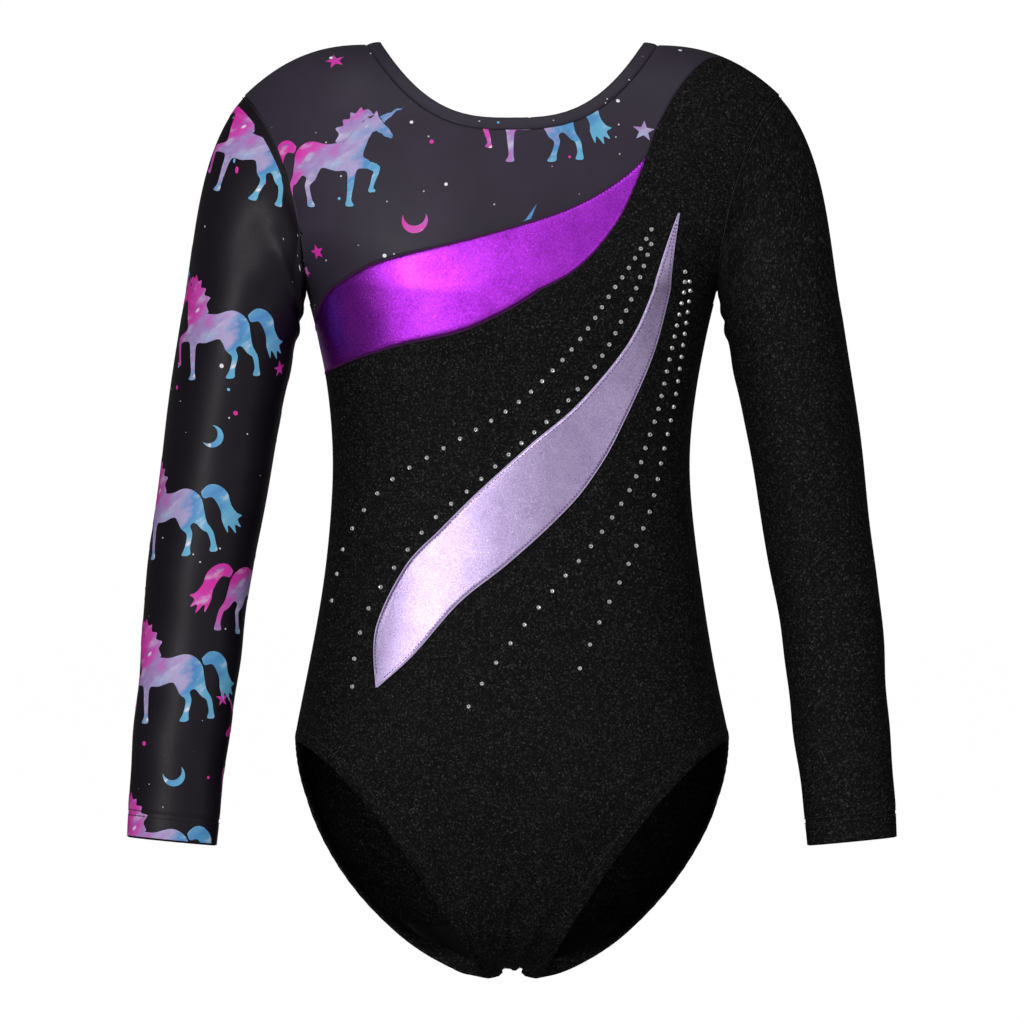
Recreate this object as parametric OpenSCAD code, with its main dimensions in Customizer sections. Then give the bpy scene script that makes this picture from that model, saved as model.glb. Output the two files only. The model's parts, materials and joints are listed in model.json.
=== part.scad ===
// Girl's long-sleeved gymnastics leotard, filled as if worn.
// The origin is midway between the two high neck points. +X is the wearer's
// left, the front faces -Y and +Z is up.
// Every panel is drawn in pattern coordinates: across runs from -1 at the right
// side seam to 1 at the left one, and up runs from 0 at the crotch through 1 at
// the hip and 2 at the underarm to 3 at the shoulder line.

/* [Trunk] */
// Drop from the neck points to the crotch
crotch_drop = 541; // [440:1:660]
// Drop from the neck points to the top of the leg opening
hip_drop = 403; // [330:1:430]
// Drop from the neck points to the waist
waist_drop = 245; // [210:1:300]
// Drop from the neck points to the underarm
underarm_drop = 142; // [115:1:175]
// Half width at the underarm
chest_half = 119; // [98:1:145]
// Half width at the waist
waist_half = 103; // [85:1:125]
// Half width at the hip
hip_half = 126; // [104:1:155]
// Half width of the crotch seam
crotch_half = 15; // [12:1:20]
// Depth in front of the side seams at the chest
chest_front = 76; // [62:1:92]
// Depth in front of the side seams at the waist
waist_front = 66; // [54:1:80]
// Depth in front of the side seams at the hip
hip_front = 76; // [62:1:92]
// Depth behind the side seams at the chest
chest_back = 72; // [59:1:88]
// Depth behind the side seams at the waist
waist_back = 66; // [54:1:80]
// Depth behind the side seams at the hip
hip_back = 86; // [70:1:104]

/* [Shoulders and neck] */
// Half width between the shoulder tips
shoulder_half = 155; // [140:1:187]
// Drop from the neck points to the shoulder tips
shoulder_drop = 29; // [22:1:36]
// Half width of the neck opening
neck_half = 76; // [63:1:92]
// Drop of the neckline at the front
neck_front_drop = 42; // [34:1:55]
// Drop of the neckline at the back
neck_back_drop = 72; // [58:1:90]
// Width of the neck binding
binding_w = 7; // [5:0.5:10]

/* [Sleeves] */
// Drop from the neck points to the cuff
cuff_drop = 461; // [380:1:560]
// How far the sleeve's centre line stands out from the shoulder tip at the upper arm
upper_arm_out = 3.5; // [0:0.5:12]
// Width of the sleeve at the upper arm
upper_arm_w = 67; // [56:1:80]
// Depth of the sleeve at the upper arm
upper_arm_d = 74; // [61:1:89]
// How far the sleeve's centre line stands out from the shoulder tip at the cuff
cuff_out = 42; // [35:1:50]
// Width of the cuff
cuff_w = 52; // [43:1:62]
// Depth of the cuff
cuff_d = 35; // [29:1:42]
// How far the cuff hangs forward
cuff_forward = 12; // [0:1:20]

/* [Cloth and trim] */
// Thickness of the panels
cloth_t = 1; // [0.8:0.1:1.4]
// Thickness of one folded ply
ply_t = 0.5; // [0.4:0.1:0.7]
// Thickness of the elastic
elastic_t = 0.6; // [0.4:0.1:0.8]
// Width of the leg hems
leg_hem_w = 9; // [7:0.5:12]
// Width of the cuff hems
cuff_hem_w = 14; // [11:0.5:18]
// Diameter of the sewing thread
thread_d = 0.6; // [0.5:0.1:0.8]
// Diameter of a crystal
crystal_d = 2.7; // [2.2:0.1:3.2]
// Width of the care label
label_w = 26; // [20:1:32]
// Length of the care label
label_l = 22; // [18:1:28]

/* [Hidden] */

front = -1;
back = 1;
gap = 0.4;            // between pieces that lie on each other
trim_lift = 0.8 + max(0, (waist_half - chest_half) / 12);   // of swoosh and crystals off the body
joint_gap = 0.5;      // between a sleeve and the trunk at the armhole
round_n = 2.4;        // roundness of the trunk's cross-section
neck_rise = 15;       // how far the closed neck would rise above the neck points
crotch_scallop = 6;   // lift of the crotch seam at its middle
seam_neck_half = neck_half + binding_w;
neck_t = asin(seam_neck_half / shoulder_half) / 90;
leg_l = crotch_drop - hip_drop;
leg_steps = 12;
side_steps = 8;
top_steps = 8;
sleeve_sides = 4 * top_steps;
cap_steps = 5;
arm_steps = 11;

// Pattern coordinates of the inset seams and the trim: [across, up]
tip = [neck_t + 0.04, 2.39];        // where band, yoke and body meet
yoke_end = [neck_t + 0.215, 3];     // where the yoke's edge meets the shoulder seam
band_upper = [[-1, 1.91], [-0.75, 1.98], [-0.4, 2.09], [0, 2.25], [0.61 * tip[0], 2.35], tip];
band_lower = [[-1, 1.81], [-0.75, 1.83], [-0.4, 1.875], [-0.11, 1.92],
              [0.41 * tip[0], 2.045], [0.82 * tip[0], 2.226], tip];
swoosh_left = [[0.565, 2.2], [0.5, 2.045], [0.423, 1.893], [0.247, 1.753], [0.064, 1.655],
               [-0.118, 1.553], [-0.256, 1.469], [-0.39, 1.384], [-0.487, 1.25],
               [-0.455, 1.12]];
swoosh_right = [[0.57, 2.2], [0.56, 2.045], [0.53, 1.86], [0.4, 1.68], [0.277, 1.569],
                [0.157, 1.491], [-0.02, 1.39], [-0.179, 1.306], [-0.33, 1.19],
                [-0.45, 1.12]];
crystal_rows = [
    [[0.457, 2.16], [0.328, 2], [0.211, 1.874], [0.018, 1.747], [-0.24, 1.651],
     [-0.458, 1.582], [-0.61, 1.51], [-0.74, 1.42], [-0.78, 1.31]],
    [[0.462, 2.12], [0.4, 1.98], [0.323, 1.862], [0.185, 1.744], [0.017, 1.65],
     [-0.16, 1.553], [-0.268, 1.5], [-0.4, 1.41], [-0.53, 1.3], [-0.57, 1.2],
     [-0.56, 1.12]],
    [[0.632, 2.045], [0.63, 1.9], [0.6, 1.747], [0.544, 1.659], [0.483, 1.579],
     [0.382, 1.502], [0.25, 1.41], [0.153, 1.345], [0.04, 1.257], [-0.071, 1.153],
     [-0.132, 1.077]],
    [[0.66, 2.02], [0.69, 1.912], [0.7, 1.762], [0.65, 1.648], [0.569, 1.529],
     [0.504, 1.464], [0.411, 1.375], [0.307, 1.276], [0.216, 1.161]]];
crystal_counts = [32, 33, 32, 27];

// ---- outline of the trunk ----
function ease(u, p) = pow(max(0, u), p);
function side_mix(z, chest, waist, hip) =
    z > -waist_drop
    ? waist + (chest - waist) * ease((z + waist_drop) / (waist_drop - underarm_drop), 1.85)
    : waist + (hip - waist) * ease((-waist_drop - z) / (hip_drop - waist_drop), 1.55);
function half_w(z) = side_mix(z, chest_half, waist_half, hip_half);
function depth_at(z, side) = side < 0
    ? side_mix(z, chest_front, waist_front, hip_front)
    : side_mix(z, chest_back, waist_back, hip_back);
function hip_depth(side) = side < 0 ? hip_front : hip_back;
function chest_depth(side) = side < 0 ? chest_front : chest_back;
function lateral(r) = pow(max(0, 1 - pow(min(1, abs(r)), round_n)), 1 / round_n);

// Below the hip, s runs from 0 at the hip to 1 at the crotch
function back_edge(s) = crotch_half + (hip_half - crotch_half) * pow(1 - pow(s, 1.8), 0.65);
function front_edge(s) = crotch_half + (hip_half - crotch_half) * (1 - pow(s, 0.74));
function body_half(s) = back_edge(s) / (1 - 0.03 * min(1, 4 * s) - 0.07 * pow(s, 8));
function leg_depth(s, side) = hip_depth(side)
    * (side < 0 ? pow(1 - pow(s, 2.6), 1 / 1.7) : pow(1 - pow(s, 3.2), 1 / 2));

// Above the underarm, h runs from 0 at the underarm to 1 at the top edge
function armhole_half(h) = chest_half + (shoulder_half - chest_half) * pow(h, 1.7);
function armhole_reach(h) = 1 - 0.14 * pow(min(1, 4 * h), 0.8);
function neck_drop(side) = (side < 0 ? neck_front_drop : neck_back_drop) + binding_w;
function top_edge(x, side) = abs(x) < seam_neck_half
    ? -neck_drop(side) * (1 - pow(abs(x) / seam_neck_half, side < 0 ? 2.8 : 2.2))
    : -shoulder_drop * pow((abs(x) - seam_neck_half) / (shoulder_half - seam_neck_half), 2.4);
function ridge(x, side) = abs(x) < seam_neck_half
    ? neck_rise * pow(1 - pow(x / seam_neck_half, 2), 2) : top_edge(x, side);
function lean(r) = pow(max(0, 1 - pow(min(1, r), 1.6)), 1 / 1.6);

// A point of the cloth, inset by d from its outer face
function low_point(t, s, d, side) =
    let(reach = (side < 0 ? front_edge(s) : back_edge(s)) / body_half(s),
        half = body_half(s) - d,
        x = reach * half * sin(90 * t))
    [x,
     side * leg_depth(s, side) * (1 - d / hip_depth(side)) * lateral(x / half),
     -hip_drop - s * leg_l + d * pow(s, 6) + crotch_scallop * pow(s, 10) * (1 - t * t)];
function side_point(t, z, d, side) =
    [(half_w(z) - d) * sin(90 * t),
     side * (depth_at(z, side) - d) * lateral(abs(t) == 1 ? 1 : sin(90 * t)), z];
function top_point(t, h, d, side) =
    let(reach = armhole_reach(h),
        x = (armhole_half(h) - reach * d) * sin(90 * t),
        rise = top_edge(x, side) - d + underarm_drop,
        full = ridge(x, side) - d + underarm_drop,
        across = h == 0 && abs(t) == 1 ? 1 : reach * sin(90 * t))
    [x, side * (chest_depth(side) - d) * lean(h * rise / full) * lateral(across),
     -underarm_drop + h * rise];
function cloth(t, v, d, side) =
    v <= 1 ? low_point(t, (1 + cos(180 * v)) / 2, d, side)
    : v <= 2 ? side_point(t, -hip_drop + (v - 1) * (hip_drop - underarm_drop), d, side)
    : top_point(t, sin(90 * (v - 2)), d, side);

// ---- vectors and curves ----
function mix(a, b, s) = a + (b - a) * s;
function unit(a) = a / norm(a);
function facing(t, v, side) =
    let(e = 0.02,
        t0 = min(0.96, max(-0.96, t)),
        v0 = min(2.94, max(0.06, v)),
        a = cloth(t0 + e, v0, 0, side) - cloth(t0 - e, v0, 0, side),
        b = cloth(t0, v0 + e, 0, side) - cloth(t0, v0 - e, 0, side))
    -side * unit(cross(a, b));
// Height of a seam at a place across the panel
function seam_piece(pts, t) = max([for (i = [0 : len(pts) - 2]) pts[i][0] <= t ? i : 0]);
function slope(pts, i) = let(a = max(0, i - 1), b = min(len(pts) - 1, i + 1))
    (pts[b][1] - pts[a][1]) / (pts[b][0] - pts[a][0]);
function seam_up(pts, t) =
    let(i = seam_piece(pts, t), w = pts[i + 1][0] - pts[i][0], u = (t - pts[i][0]) / w)
    pts[i][1] * (1 + 2 * u) * pow(1 - u, 2) + slope(pts, i) * w * u * pow(1 - u, 2)
    + pts[i + 1][1] * u * u * (3 - 2 * u) + slope(pts, i + 1) * w * u * u * (u - 1);
// A smooth curve through points, q from 0 to 1
function through(pts, q) =
    let(n = len(pts) - 1, i = min(n - 1, floor(q * n)), u = q * n - i,
        a = pts[max(0, i - 1)], b = pts[i], c = pts[i + 1], e = pts[min(n, i + 2)])
    0.5 * (2 * b + (c - a) * u + (2 * a - 5 * b + 4 * c - e) * u * u
           + (3 * b - a - 3 * c + e) * u * u * u);

// ---- solids ----
// A sheet between two grids of points, given as columns of equal length
module sheet(outer, inner, turned) {
    n = len(outer);
    m = len(outer[0]);
    points = concat([for (c = outer) each c], [for (c = inner) each c]);
    inside = n * m;
    quads = concat(
        [for (i = [0 : n - 2], j = [0 : m - 2])
            let(a = i * m + j) [a, a + m, a + m + 1, a + 1]],
        [for (i = [0 : n - 2], j = [0 : m - 2])
            let(a = inside + i * m + j) [a, a + 1, a + m + 1, a + m]]);
    rim = concat(
        [for (i = [0 : n - 2]) let(a = i * m) [a, inside + a, inside + a + m, a + m]],
        [for (i = [0 : n - 2]) let(a = i * m + m - 1) [a, a + m, inside + a + m, inside + a]],
        [for (j = [0 : m - 2]) [j + 1, inside + j + 1, inside + j, j]],
        [for (j = [0 : m - 2]) let(a = (n - 1) * m + j) [a, inside + a, inside + a + 1, a + 1]]);
    triangles = [for (q = concat(quads, rim)) each [[q[0], q[1], q[2]], [q[0], q[2], q[3]]]];
    polyhedron(points, turned ? triangles : [for (f = triangles) [f[2], f[1], f[0]]]);
}
// A closed or open sweep through sections, each a ring of points
module sweep(rings, closed = true) {
    n = len(rings);
    m = len(rings[0]);
    sides = [for (i = [0 : closed ? n - 1 : n - 2], j = [0 : m - 1])
        let(a = i * m, b = ((i + 1) % n) * m, k = (j + 1) % m)
        each [[a + j, a + k, b + k], [a + j, b + k, b + j]]];
    caps = closed ? [] : [[for (j = [m - 1 : -1 : 0]) j], [for (j = [0 : m - 1]) (n - 1) * m + j]];
    polyhedron([for (r = rings) each r], concat(sides, caps));
}
// A thread of four sides along points that stand off a surface
module thread(path, faces, closed, lift = gap) {
    n = len(path);
    r = thread_d / 2;
    sweep([for (i = [0 : n - 1])
        let(next = closed ? path[(i + 1) % n] : path[min(n - 1, i + 1)],
            last = closed ? path[(i + n - 1) % n] : path[max(0, i - 1)],
            along = unit(next - last),
            out = unit(faces[i] - along * (faces[i] * along)),
            side = cross(out, along),
            centre = path[i] + out * (lift + r))
        [centre + r * out, centre + r * side, centre - r * out, centre - r * side]], closed);
}
module panel_thread(marks, side) {
    thread([for (p = marks) cloth(p[0], p[1], 0, side)],
           [for (p = marks) facing(p[0], p[1], side)], false);
}

// ---- panels ----
sliver = 0.012;
neck_steps = 12;
neck_cols = [for (k = [0 : neck_steps]) neck_t * (2 * k / neck_steps - 1)];
side_cols = [for (q = [0, 0.09, 0.19, 0.31, 0.45, 0.59, 0.75, 0.89]) q * (1 - neck_t) - 1];
left_cols = concat(side_cols, neck_cols);
yoke_cols = [for (k = [0 : 3]) mix(tip[0], yoke_end[0] - sliver, k / 3)];
right_cols = [for (q = [0, 0.15, 0.32, 0.53, 0.72, 0.87, 1]) mix(yoke_end[0], 1, q)];
band_cols = concat(left_cols, [tip[0] - sliver]);
front_cols = concat(band_cols, yoke_cols, right_cols);
back_cols = concat(left_cols, [for (i = [len(side_cols) - 1 : -1 : 0]) -side_cols[i]]);

function shoulder_side(t) = tip[1] + (yoke_end[1] - tip[1]) * (t - tip[0]) / (yoke_end[0] - tip[0]);
function yoke_edge(t) = t >= yoke_end[0] ? 3 : t >= tip[0] ? shoulder_side(t) : seam_up(band_upper, t);
function body_edge(t) = t >= tip[0] ? yoke_edge(t) : seam_up(band_lower, t);
function leg_ups() = [for (k = [0 : leg_steps]) k / leg_steps];
function body_ups(t) = concat(leg_ups(),
    [for (k = [1 : side_steps + top_steps])
        1 + (body_edge(t) - 1) * k / (side_steps + top_steps)]);
function back_ups() = concat(leg_ups(), [for (k = [1 : side_steps]) 1 + k / side_steps],
    [for (k = [1 : top_steps]) 2 + k / top_steps]);
function yoke_ups(t) =
    let(low = yoke_edge(t), next = max(2, low + (3 - low) / (top_steps + 1)))
    concat([low], [for (k = [0 : top_steps]) next + (3 - next) * k / top_steps]);
function band_ups(t) = [for (k = [0 : 3]) body_edge(t) + (yoke_edge(t) - body_edge(t)) * k / 3];

module front_body_panel() {
    color([0.1, 0.1, 0.11])
        sheet([for (t = front_cols) [for (v = body_ups(t)) cloth(t, v, 0, front)]],
              [for (t = front_cols) [for (v = body_ups(t)) cloth(t, v, cloth_t, front)]], false);
}
module back_body_panel() {
    color([0.12, 0.12, 0.13])
        sheet([for (t = back_cols) [for (v = back_ups()) cloth(t, v, 0, back)]],
              [for (t = back_cols) [for (v = back_ups()) cloth(t, v, cloth_t, back)]], true);
}
module front_yoke_panel() {
    cols = concat(band_cols, yoke_cols);
    color([0.27, 0.24, 0.33])
        sheet([for (t = cols) [for (v = yoke_ups(t)) cloth(t, v, 0, front)]],
              [for (t = cols) [for (v = yoke_ups(t)) cloth(t, v, cloth_t, front)]], false);
}
module foil_band_panel() {
    color([0.6, 0.1, 0.85])
        sheet([for (t = band_cols) [for (v = band_ups(t)) cloth(t, v, 0, front)]],
              [for (t = band_cols) [for (v = band_ups(t)) cloth(t, v, cloth_t, front)]], false);
}
module lilac_swoosh() {
    steps = 32;
    plies = 4;
    function place(i, j, d) =
        let(a = through(swoosh_left, i / steps), b = through(swoosh_right, i / steps),
            p = a + (b - a) * j / plies)
        cloth(p[0], p[1], 0, front) + d * facing(p[0], p[1], front);
    color([0.74, 0.65, 0.86])
        sheet([for (i = [0 : steps]) [for (j = [0 : plies]) place(i, j, trim_lift + ply_t)]],
              [for (i = [0 : steps]) [for (j = [0 : plies]) place(i, j, trim_lift)]], false);
}
module crotch_lining() {
    steps = 4;
    ups = [for (k = [0 : steps]) k / leg_steps];
    cols = [for (k = [-3 : 3]) 0.72 * k / 3];
    near = cloth_t + 2 * gap;
    function run(t, d) = concat([for (k = [steps : -1 : 1]) cloth(t, ups[k], d, front)],
                                [for (v = ups) cloth(t, v, d, back)]);
    color([0.16, 0.16, 0.17])
        sheet([for (t = cols) run(t, near)], [for (t = cols) run(t, near + ply_t)], true);
}
module care_label() {
    top = 2.43;
    across = asin(label_w / 2 / armhole_half(sin(90 * (top - 2)))) / 90;
    high = -underarm_drop + sin(90 * (top - 2)) * (underarm_drop - neck_drop(back));
    up = asin((high - label_l + underarm_drop) / (underarm_drop - neck_drop(back))) / 90;
    function grid(d) = [for (i = [-2 : 2]) [for (j = [0 : 3])
        cloth(across * i / 2, mix(2 + up, top, j / 3), d, back)]];
    color([0.93, 0.93, 0.92]) sheet(grid(cloth_t + gap), grid(cloth_t + gap + 0.3), true);
}

// ---- sleeves ----
// Places round the armhole: up the front from the underarm, over the tip, down the back
function armhole_up(i) = i <= 2 * top_steps ? 3 - i / (2 * top_steps) : 1 + i / (2 * top_steps);
function armhole_side(i) = i <= 2 * top_steps ? front : back;
function armhole_corner(i, d) = let(p = cloth(1, armhole_up(i), d, armhole_side(i)))
    [p[0] + joint_gap, p[1], p[2] - 0.3 * joint_gap];
function armhole_point(i, d) = i % 2 == 0 ? armhole_corner(i, d)
    : (armhole_corner(i - 1, d) + armhole_corner((i + 1) % sleeve_sides, d)) / 2;
upper_arm_drop = underarm_drop + 23;
function arm_x(s) = shoulder_half + mix(upper_arm_out, cuff_out, s) + 16 * s * (1 - s);
function arm_ring(i, s, d) =
    let(a = 360 * i / sleeve_sides,
        w = mix(upper_arm_w, cuff_w, s) / 2 - d,
        depth = mix(upper_arm_d, cuff_d, pow(s, 0.9)) / 2 - d)
    [arm_x(s) + w * cos(a), -cuff_forward * s * s - depth * sin(a),
     mix(-upper_arm_drop, -cuff_drop, s) + mix(7, 2.5, s) * cos(a)];
function cap_point(i, u, d) =
    let(p = armhole_point(i, d), q = arm_ring(i, 0, d), l = norm(q - p),
        c = (1 + cos(360 * i / sleeve_sides)) / 2,
        from = l * unit([0.15 + 0.7 * c, 0, -1]), to = l * unit([0.2, 0, -1]))
    p * (1 + 2 * u) * pow(1 - u, 2) + from * u * pow(1 - u, 2)
    + q * u * u * (3 - 2 * u) + to * u * u * (u - 1);
function sleeve_ring(k, d) = [for (i = [0 : sleeve_sides - 1])
    k < cap_steps ? cap_point(i, k / cap_steps, d)
    : arm_ring(i, (k - cap_steps) / arm_steps, d)];
module tube_wall(outer, inner) {
    n = len(outer);
    m = len(outer[0]);
    ring = concat(outer, [for (k = [n - 1 : -1 : 0]) inner[k]]);
    points = [for (r = ring) each r];
    faces = [for (k = [0 : 2 * n - 1], i = [0 : m - 1])
        let(a = k * m, b = ((k + 1) % (2 * n)) * m, j = (i + 1) % m)
        each [[a + i, b + j, a + j], [a + i, b + i, b + j]]];
    polyhedron(points, faces);
}
module sleeve() {
    last = cap_steps + arm_steps;
    tube_wall([for (k = [0 : last]) sleeve_ring(k, 0)],
              [for (k = [0 : last]) sleeve_ring(k, cloth_t)]);
}
module cuff_hem() {
    from = 1 - cuff_hem_w / (cuff_drop - upper_arm_drop);
    near = cloth_t + gap;
    ends = [from, (from + 1) / 2, 1];
    tube_wall([for (s = ends) [for (i = [0 : sleeve_sides - 1]) arm_ring(i, s, near)]],
              [for (s = ends) [for (i = [0 : sleeve_sides - 1]) arm_ring(i, s, near + ply_t)]]);
}
module cuff_topstitch() {
    s = 1 - (cuff_hem_w - 1.5) / (cuff_drop - upper_arm_drop);
    path = [for (i = [0 : sleeve_sides - 1]) arm_ring(i, s, 0)];
    faces = [for (p = path) unit([p[0] - arm_x(s), p[1] + cuff_forward * s * s, 0])];
    thread(path, faces, true);
}
module armhole_seam() {
    across = 0.943;
    marks = [for (i = [-2 * top_steps + 2 : 2 : 2 * top_steps - 2])
        let(k = (i + sleeve_sides) % sleeve_sides) [armhole_up(k), armhole_side(k)]];
    thread([for (m = marks) cloth(across, m[0], 0, m[1])],
           [for (m = marks) facing(across, m[0], m[1])], false, 2 * gap);
}
module right_sleeve() { color([0.22, 0.19, 0.27]) mirror([1, 0, 0]) sleeve(); }
module left_sleeve() { color([0.1, 0.1, 0.11]) sleeve(); }
module right_cuff_hem() { color([0.2, 0.17, 0.25]) mirror([1, 0, 0]) cuff_hem(); }
module left_cuff_hem() { color([0.12, 0.12, 0.13]) cuff_hem(); }
module right_cuff_topstitch() { color([0.05, 0.05, 0.06]) mirror([1, 0, 0]) cuff_topstitch(); }
module left_cuff_topstitch() { color([0.05, 0.05, 0.06]) cuff_topstitch(); }
module right_armhole_seam() { color([0.05, 0.05, 0.06]) mirror([1, 0, 0]) armhole_seam(); }
module left_armhole_seam() { color([0.05, 0.05, 0.06]) armhole_seam(); }

// ---- neck ----
function neck_mark(i) = i < neck_steps
    ? [neck_t * (2 * i / neck_steps - 1), front] : [neck_t * (3 - 2 * i / neck_steps), back];
function neck_edge(i) = let(m = neck_mark(i)) cloth(m[0], 3, 0, m[1]);
function neck_inward(i) = let(a = 180 * i / neck_steps)
    unit([cos(a), 0.55 * sin(a), 0.15 + 0.8 * abs(sin(a))]);
function neck_outward(i) =
    let(n = 2 * neck_steps, along = neck_edge((i + 1) % n) - neck_edge((i + n - 1) % n))
    unit(cross(along, neck_inward(i)));
module neck_ring(section) {
    sweep([for (i = [0 : 2 * neck_steps - 1])
        [for (p = section) neck_edge(i) + p[0] * neck_inward(i) + p[1] * neck_outward(i)]]);
}
fold_top = binding_w - ply_t;
elastic_top = -gap;
module neck_binding() {
    inside = elastic_top - elastic_t - gap;
    color([0.24, 0.22, 0.28])
        neck_ring([[binding_w, ply_t], [binding_w, inside - ply_t], [gap, inside - ply_t],
                   [gap, inside], [fold_top, inside], [fold_top, 0], [gap, 0], [gap, ply_t]]);
}
module neck_elastic() {
    color([0.9, 0.9, 0.88])
        neck_ring([[fold_top - gap, elastic_top], [fold_top - gap, elastic_top - elastic_t],
                   [2 * gap, elastic_top - elastic_t], [2 * gap, elastic_top]]);
}
module neck_topstitch() {
    color([0.04, 0.04, 0.05])
        thread([for (i = [0 : 2 * neck_steps - 1]) neck_edge(i) - thread_d * neck_inward(i)],
               [for (i = [0 : 2 * neck_steps - 1]) neck_outward(i)], true, 3 * gap);
}

// ---- leg openings ----
// Round the left leg opening: down the front edge, over the crotch, up the back edge
leg_marks = 2 * leg_steps;
function leg_mark(i) = i <= leg_steps ? [1 - i / leg_steps, front] : [i / leg_steps - 1, back];
function leg_edge(i, d) = let(m = leg_mark(i % leg_marks)) cloth(1, m[0], d, m[1]);
function leg_facing(i) =
    let(p = leg_edge(i, 0), s = (-hip_drop - p[2]) / leg_l, side = leg_mark(i)[1],
        half = body_half(min(0.99, s)), deep = leg_depth(min(0.97, s), side),
        flat = [pow(abs(p[0] / half), round_n - 1) / half,
                side * pow(abs(p[1] / deep), round_n - 1) / deep, 0],
        under = pow(s, 5))
    unit(unit(flat) * (1 - under) + [0, 0, -under]);
function leg_inward(i) =
    let(n = leg_marks, along = leg_edge(i + 1, 0) - leg_edge(i + n - 1, 0),
        a = unit(cross(leg_facing(i), along)))
    unit(a - 0.1 * leg_facing(i));
module leg_ring(near, far, width) {
    sweep([for (i = [0 : 0.5 : leg_marks - 0.5])
        let(k = floor(i), next = ceil(i) % leg_marks,
            p = (leg_edge(k, 0) + leg_edge(next, 0)) / 2,
            n = unit(leg_facing(k) + leg_facing(next)),
            a = unit(leg_inward(k) + leg_inward(next)))
        [p - near * n, p - near * n + width * a, p - far * n + width * a, p - far * n]]);
}
elastic_near = cloth_t + gap;
hem_near = elastic_near + elastic_t + 2 * gap;
module leg_hem() { leg_ring(hem_near, hem_near + ply_t, leg_hem_w); }
module leg_elastic() { leg_ring(elastic_near, elastic_near + elastic_t, leg_hem_w - 2); }
module leg_topstitch() {
    lift = 0.1 * leg_hem_w;
    thread([for (i = [0 : leg_marks - 1])
                leg_edge(i, 0) + leg_hem_w * leg_inward(i) + lift * leg_facing(i)],
           [for (i = [0 : leg_marks - 1]) leg_facing(i)], true);
}
module left_leg_hem() { color([0.12, 0.12, 0.13]) leg_hem(); }
module right_leg_hem() { color([0.12, 0.12, 0.13]) mirror([1, 0, 0]) leg_hem(); }
module left_leg_elastic() { color([0.9, 0.9, 0.88]) leg_elastic(); }
module right_leg_elastic() { color([0.9, 0.9, 0.88]) mirror([1, 0, 0]) leg_elastic(); }
module left_leg_topstitch() { color([0.05, 0.05, 0.06]) leg_topstitch(); }
module right_leg_topstitch() { color([0.05, 0.05, 0.06]) mirror([1, 0, 0]) leg_topstitch(); }

// ---- seams ----
module side_seam() {
    ups = [for (k = [0 : 12]) 1.02 + 0.95 * k / 12];
    thread([for (v = ups) cloth(1, v, 0, back)], [for (v = ups) [1, 0, 0]], false);
}
module shoulder_seam() {
    cols = [for (k = [0 : 8]) mix(neck_t + 0.02, 0.9, k / 8)];
    thread([for (t = cols) cloth(t, 3, 0, back)], [for (t = cols) [0, 0, 1]], false);
}
module left_side_seam() { color([0.05, 0.05, 0.06]) side_seam(); }
module right_side_seam() { color([0.05, 0.05, 0.06]) mirror([1, 0, 0]) side_seam(); }
module left_shoulder_seam() { color([0.05, 0.05, 0.06]) shoulder_seam(); }
module right_shoulder_seam() { color([0.05, 0.05, 0.06]) mirror([1, 0, 0]) shoulder_seam(); }
module crotch_seam() {
    cols = [for (k = [-3 : 3]) 0.9 * k / 3];
    color([0.05, 0.05, 0.06])
        thread([for (t = cols) cloth(t, 0, 0, back)], [for (t = cols) [0, 0, -1]], false);
}
module band_upper_stitch() {
    cols = [for (k = [0 : 26]) mix(-0.97, tip[0] - 2 * sliver, k / 26)];
    color([0.45, 0.05, 0.6]) panel_thread([for (t = cols) [t, yoke_edge(t)]], front);
}
module band_lower_stitch() {
    cols = [for (k = [0 : 26]) mix(-0.97, tip[0] - 2 * sliver, k / 26)];
    color([0.45, 0.05, 0.6]) panel_thread([for (t = cols) [t, body_edge(t)]], front);
}
module swoosh_stitch() {
    steps = 22;
    inset = 0.12;
    left = [for (k = [1 : steps - 1]) let(q = k / steps)
        mix(through(swoosh_left, q), through(swoosh_right, q), inset)];
    right = [for (k = [steps - 1 : -1 : 1]) let(q = k / steps)
        mix(through(swoosh_right, q), through(swoosh_left, q), inset)];
    marks = concat(left, right);
    color([0.4, 0.25, 0.6])
        thread([for (p = marks) cloth(p[0], p[1], 0, front)
                    + (trim_lift + ply_t) * facing(p[0], p[1], front)],
               [for (p = marks) facing(p[0], p[1], front)], true);
}

// ---- crystals ----
module crystal() {
    r = crystal_d / 2;
    cylinder(h = 0.5, r = r, $fn = 24);
    translate([0, 0, 0.5]) cylinder(h = 0.6, r1 = r, r2 = 0.6 * r, $fn = 24);
}
// Pairs of length along the cloth and share of the row's curve
function row_lengths(marks) =
    let(steps = 48,
        spots = [for (k = [0 : steps]) let(m = through(marks, k / steps)) cloth(m[0], m[1], 0, front)])
    [for (k = 0, run = 0; k <= steps;
          run = run + norm(spots[min(steps, k + 1)] - spots[k]), k = k + 1) [run, k / steps]];
// The crystals sit closer at the top of a row than at its foot
function spread(q) = 0.68 * q + 0.32 * pow(q, 3);
module crystal_row(i) {
    marks = crystal_rows[i];
    count = crystal_counts[i];
    lengths = row_lengths(marks);
    whole = lengths[len(lengths) - 1][0];
    color([0.93, 0.93, 0.96])
        for (k = [0 : count - 1]) {
            m = through(marks, 0.998 * lookup(whole * spread(k / (count - 1)), lengths));
            n = facing(m[0], m[1], front);
            translate(cloth(m[0], m[1], 0, front) + trim_lift * n)
                rotate([0, acos(n[2]), atan2(n[1], n[0])]) crystal();
        }
}
module crystal_row_1() { crystal_row(0); }
module crystal_row_2() { crystal_row(1); }
module crystal_row_3() { crystal_row(2); }
module crystal_row_4() { crystal_row(3); }

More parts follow.
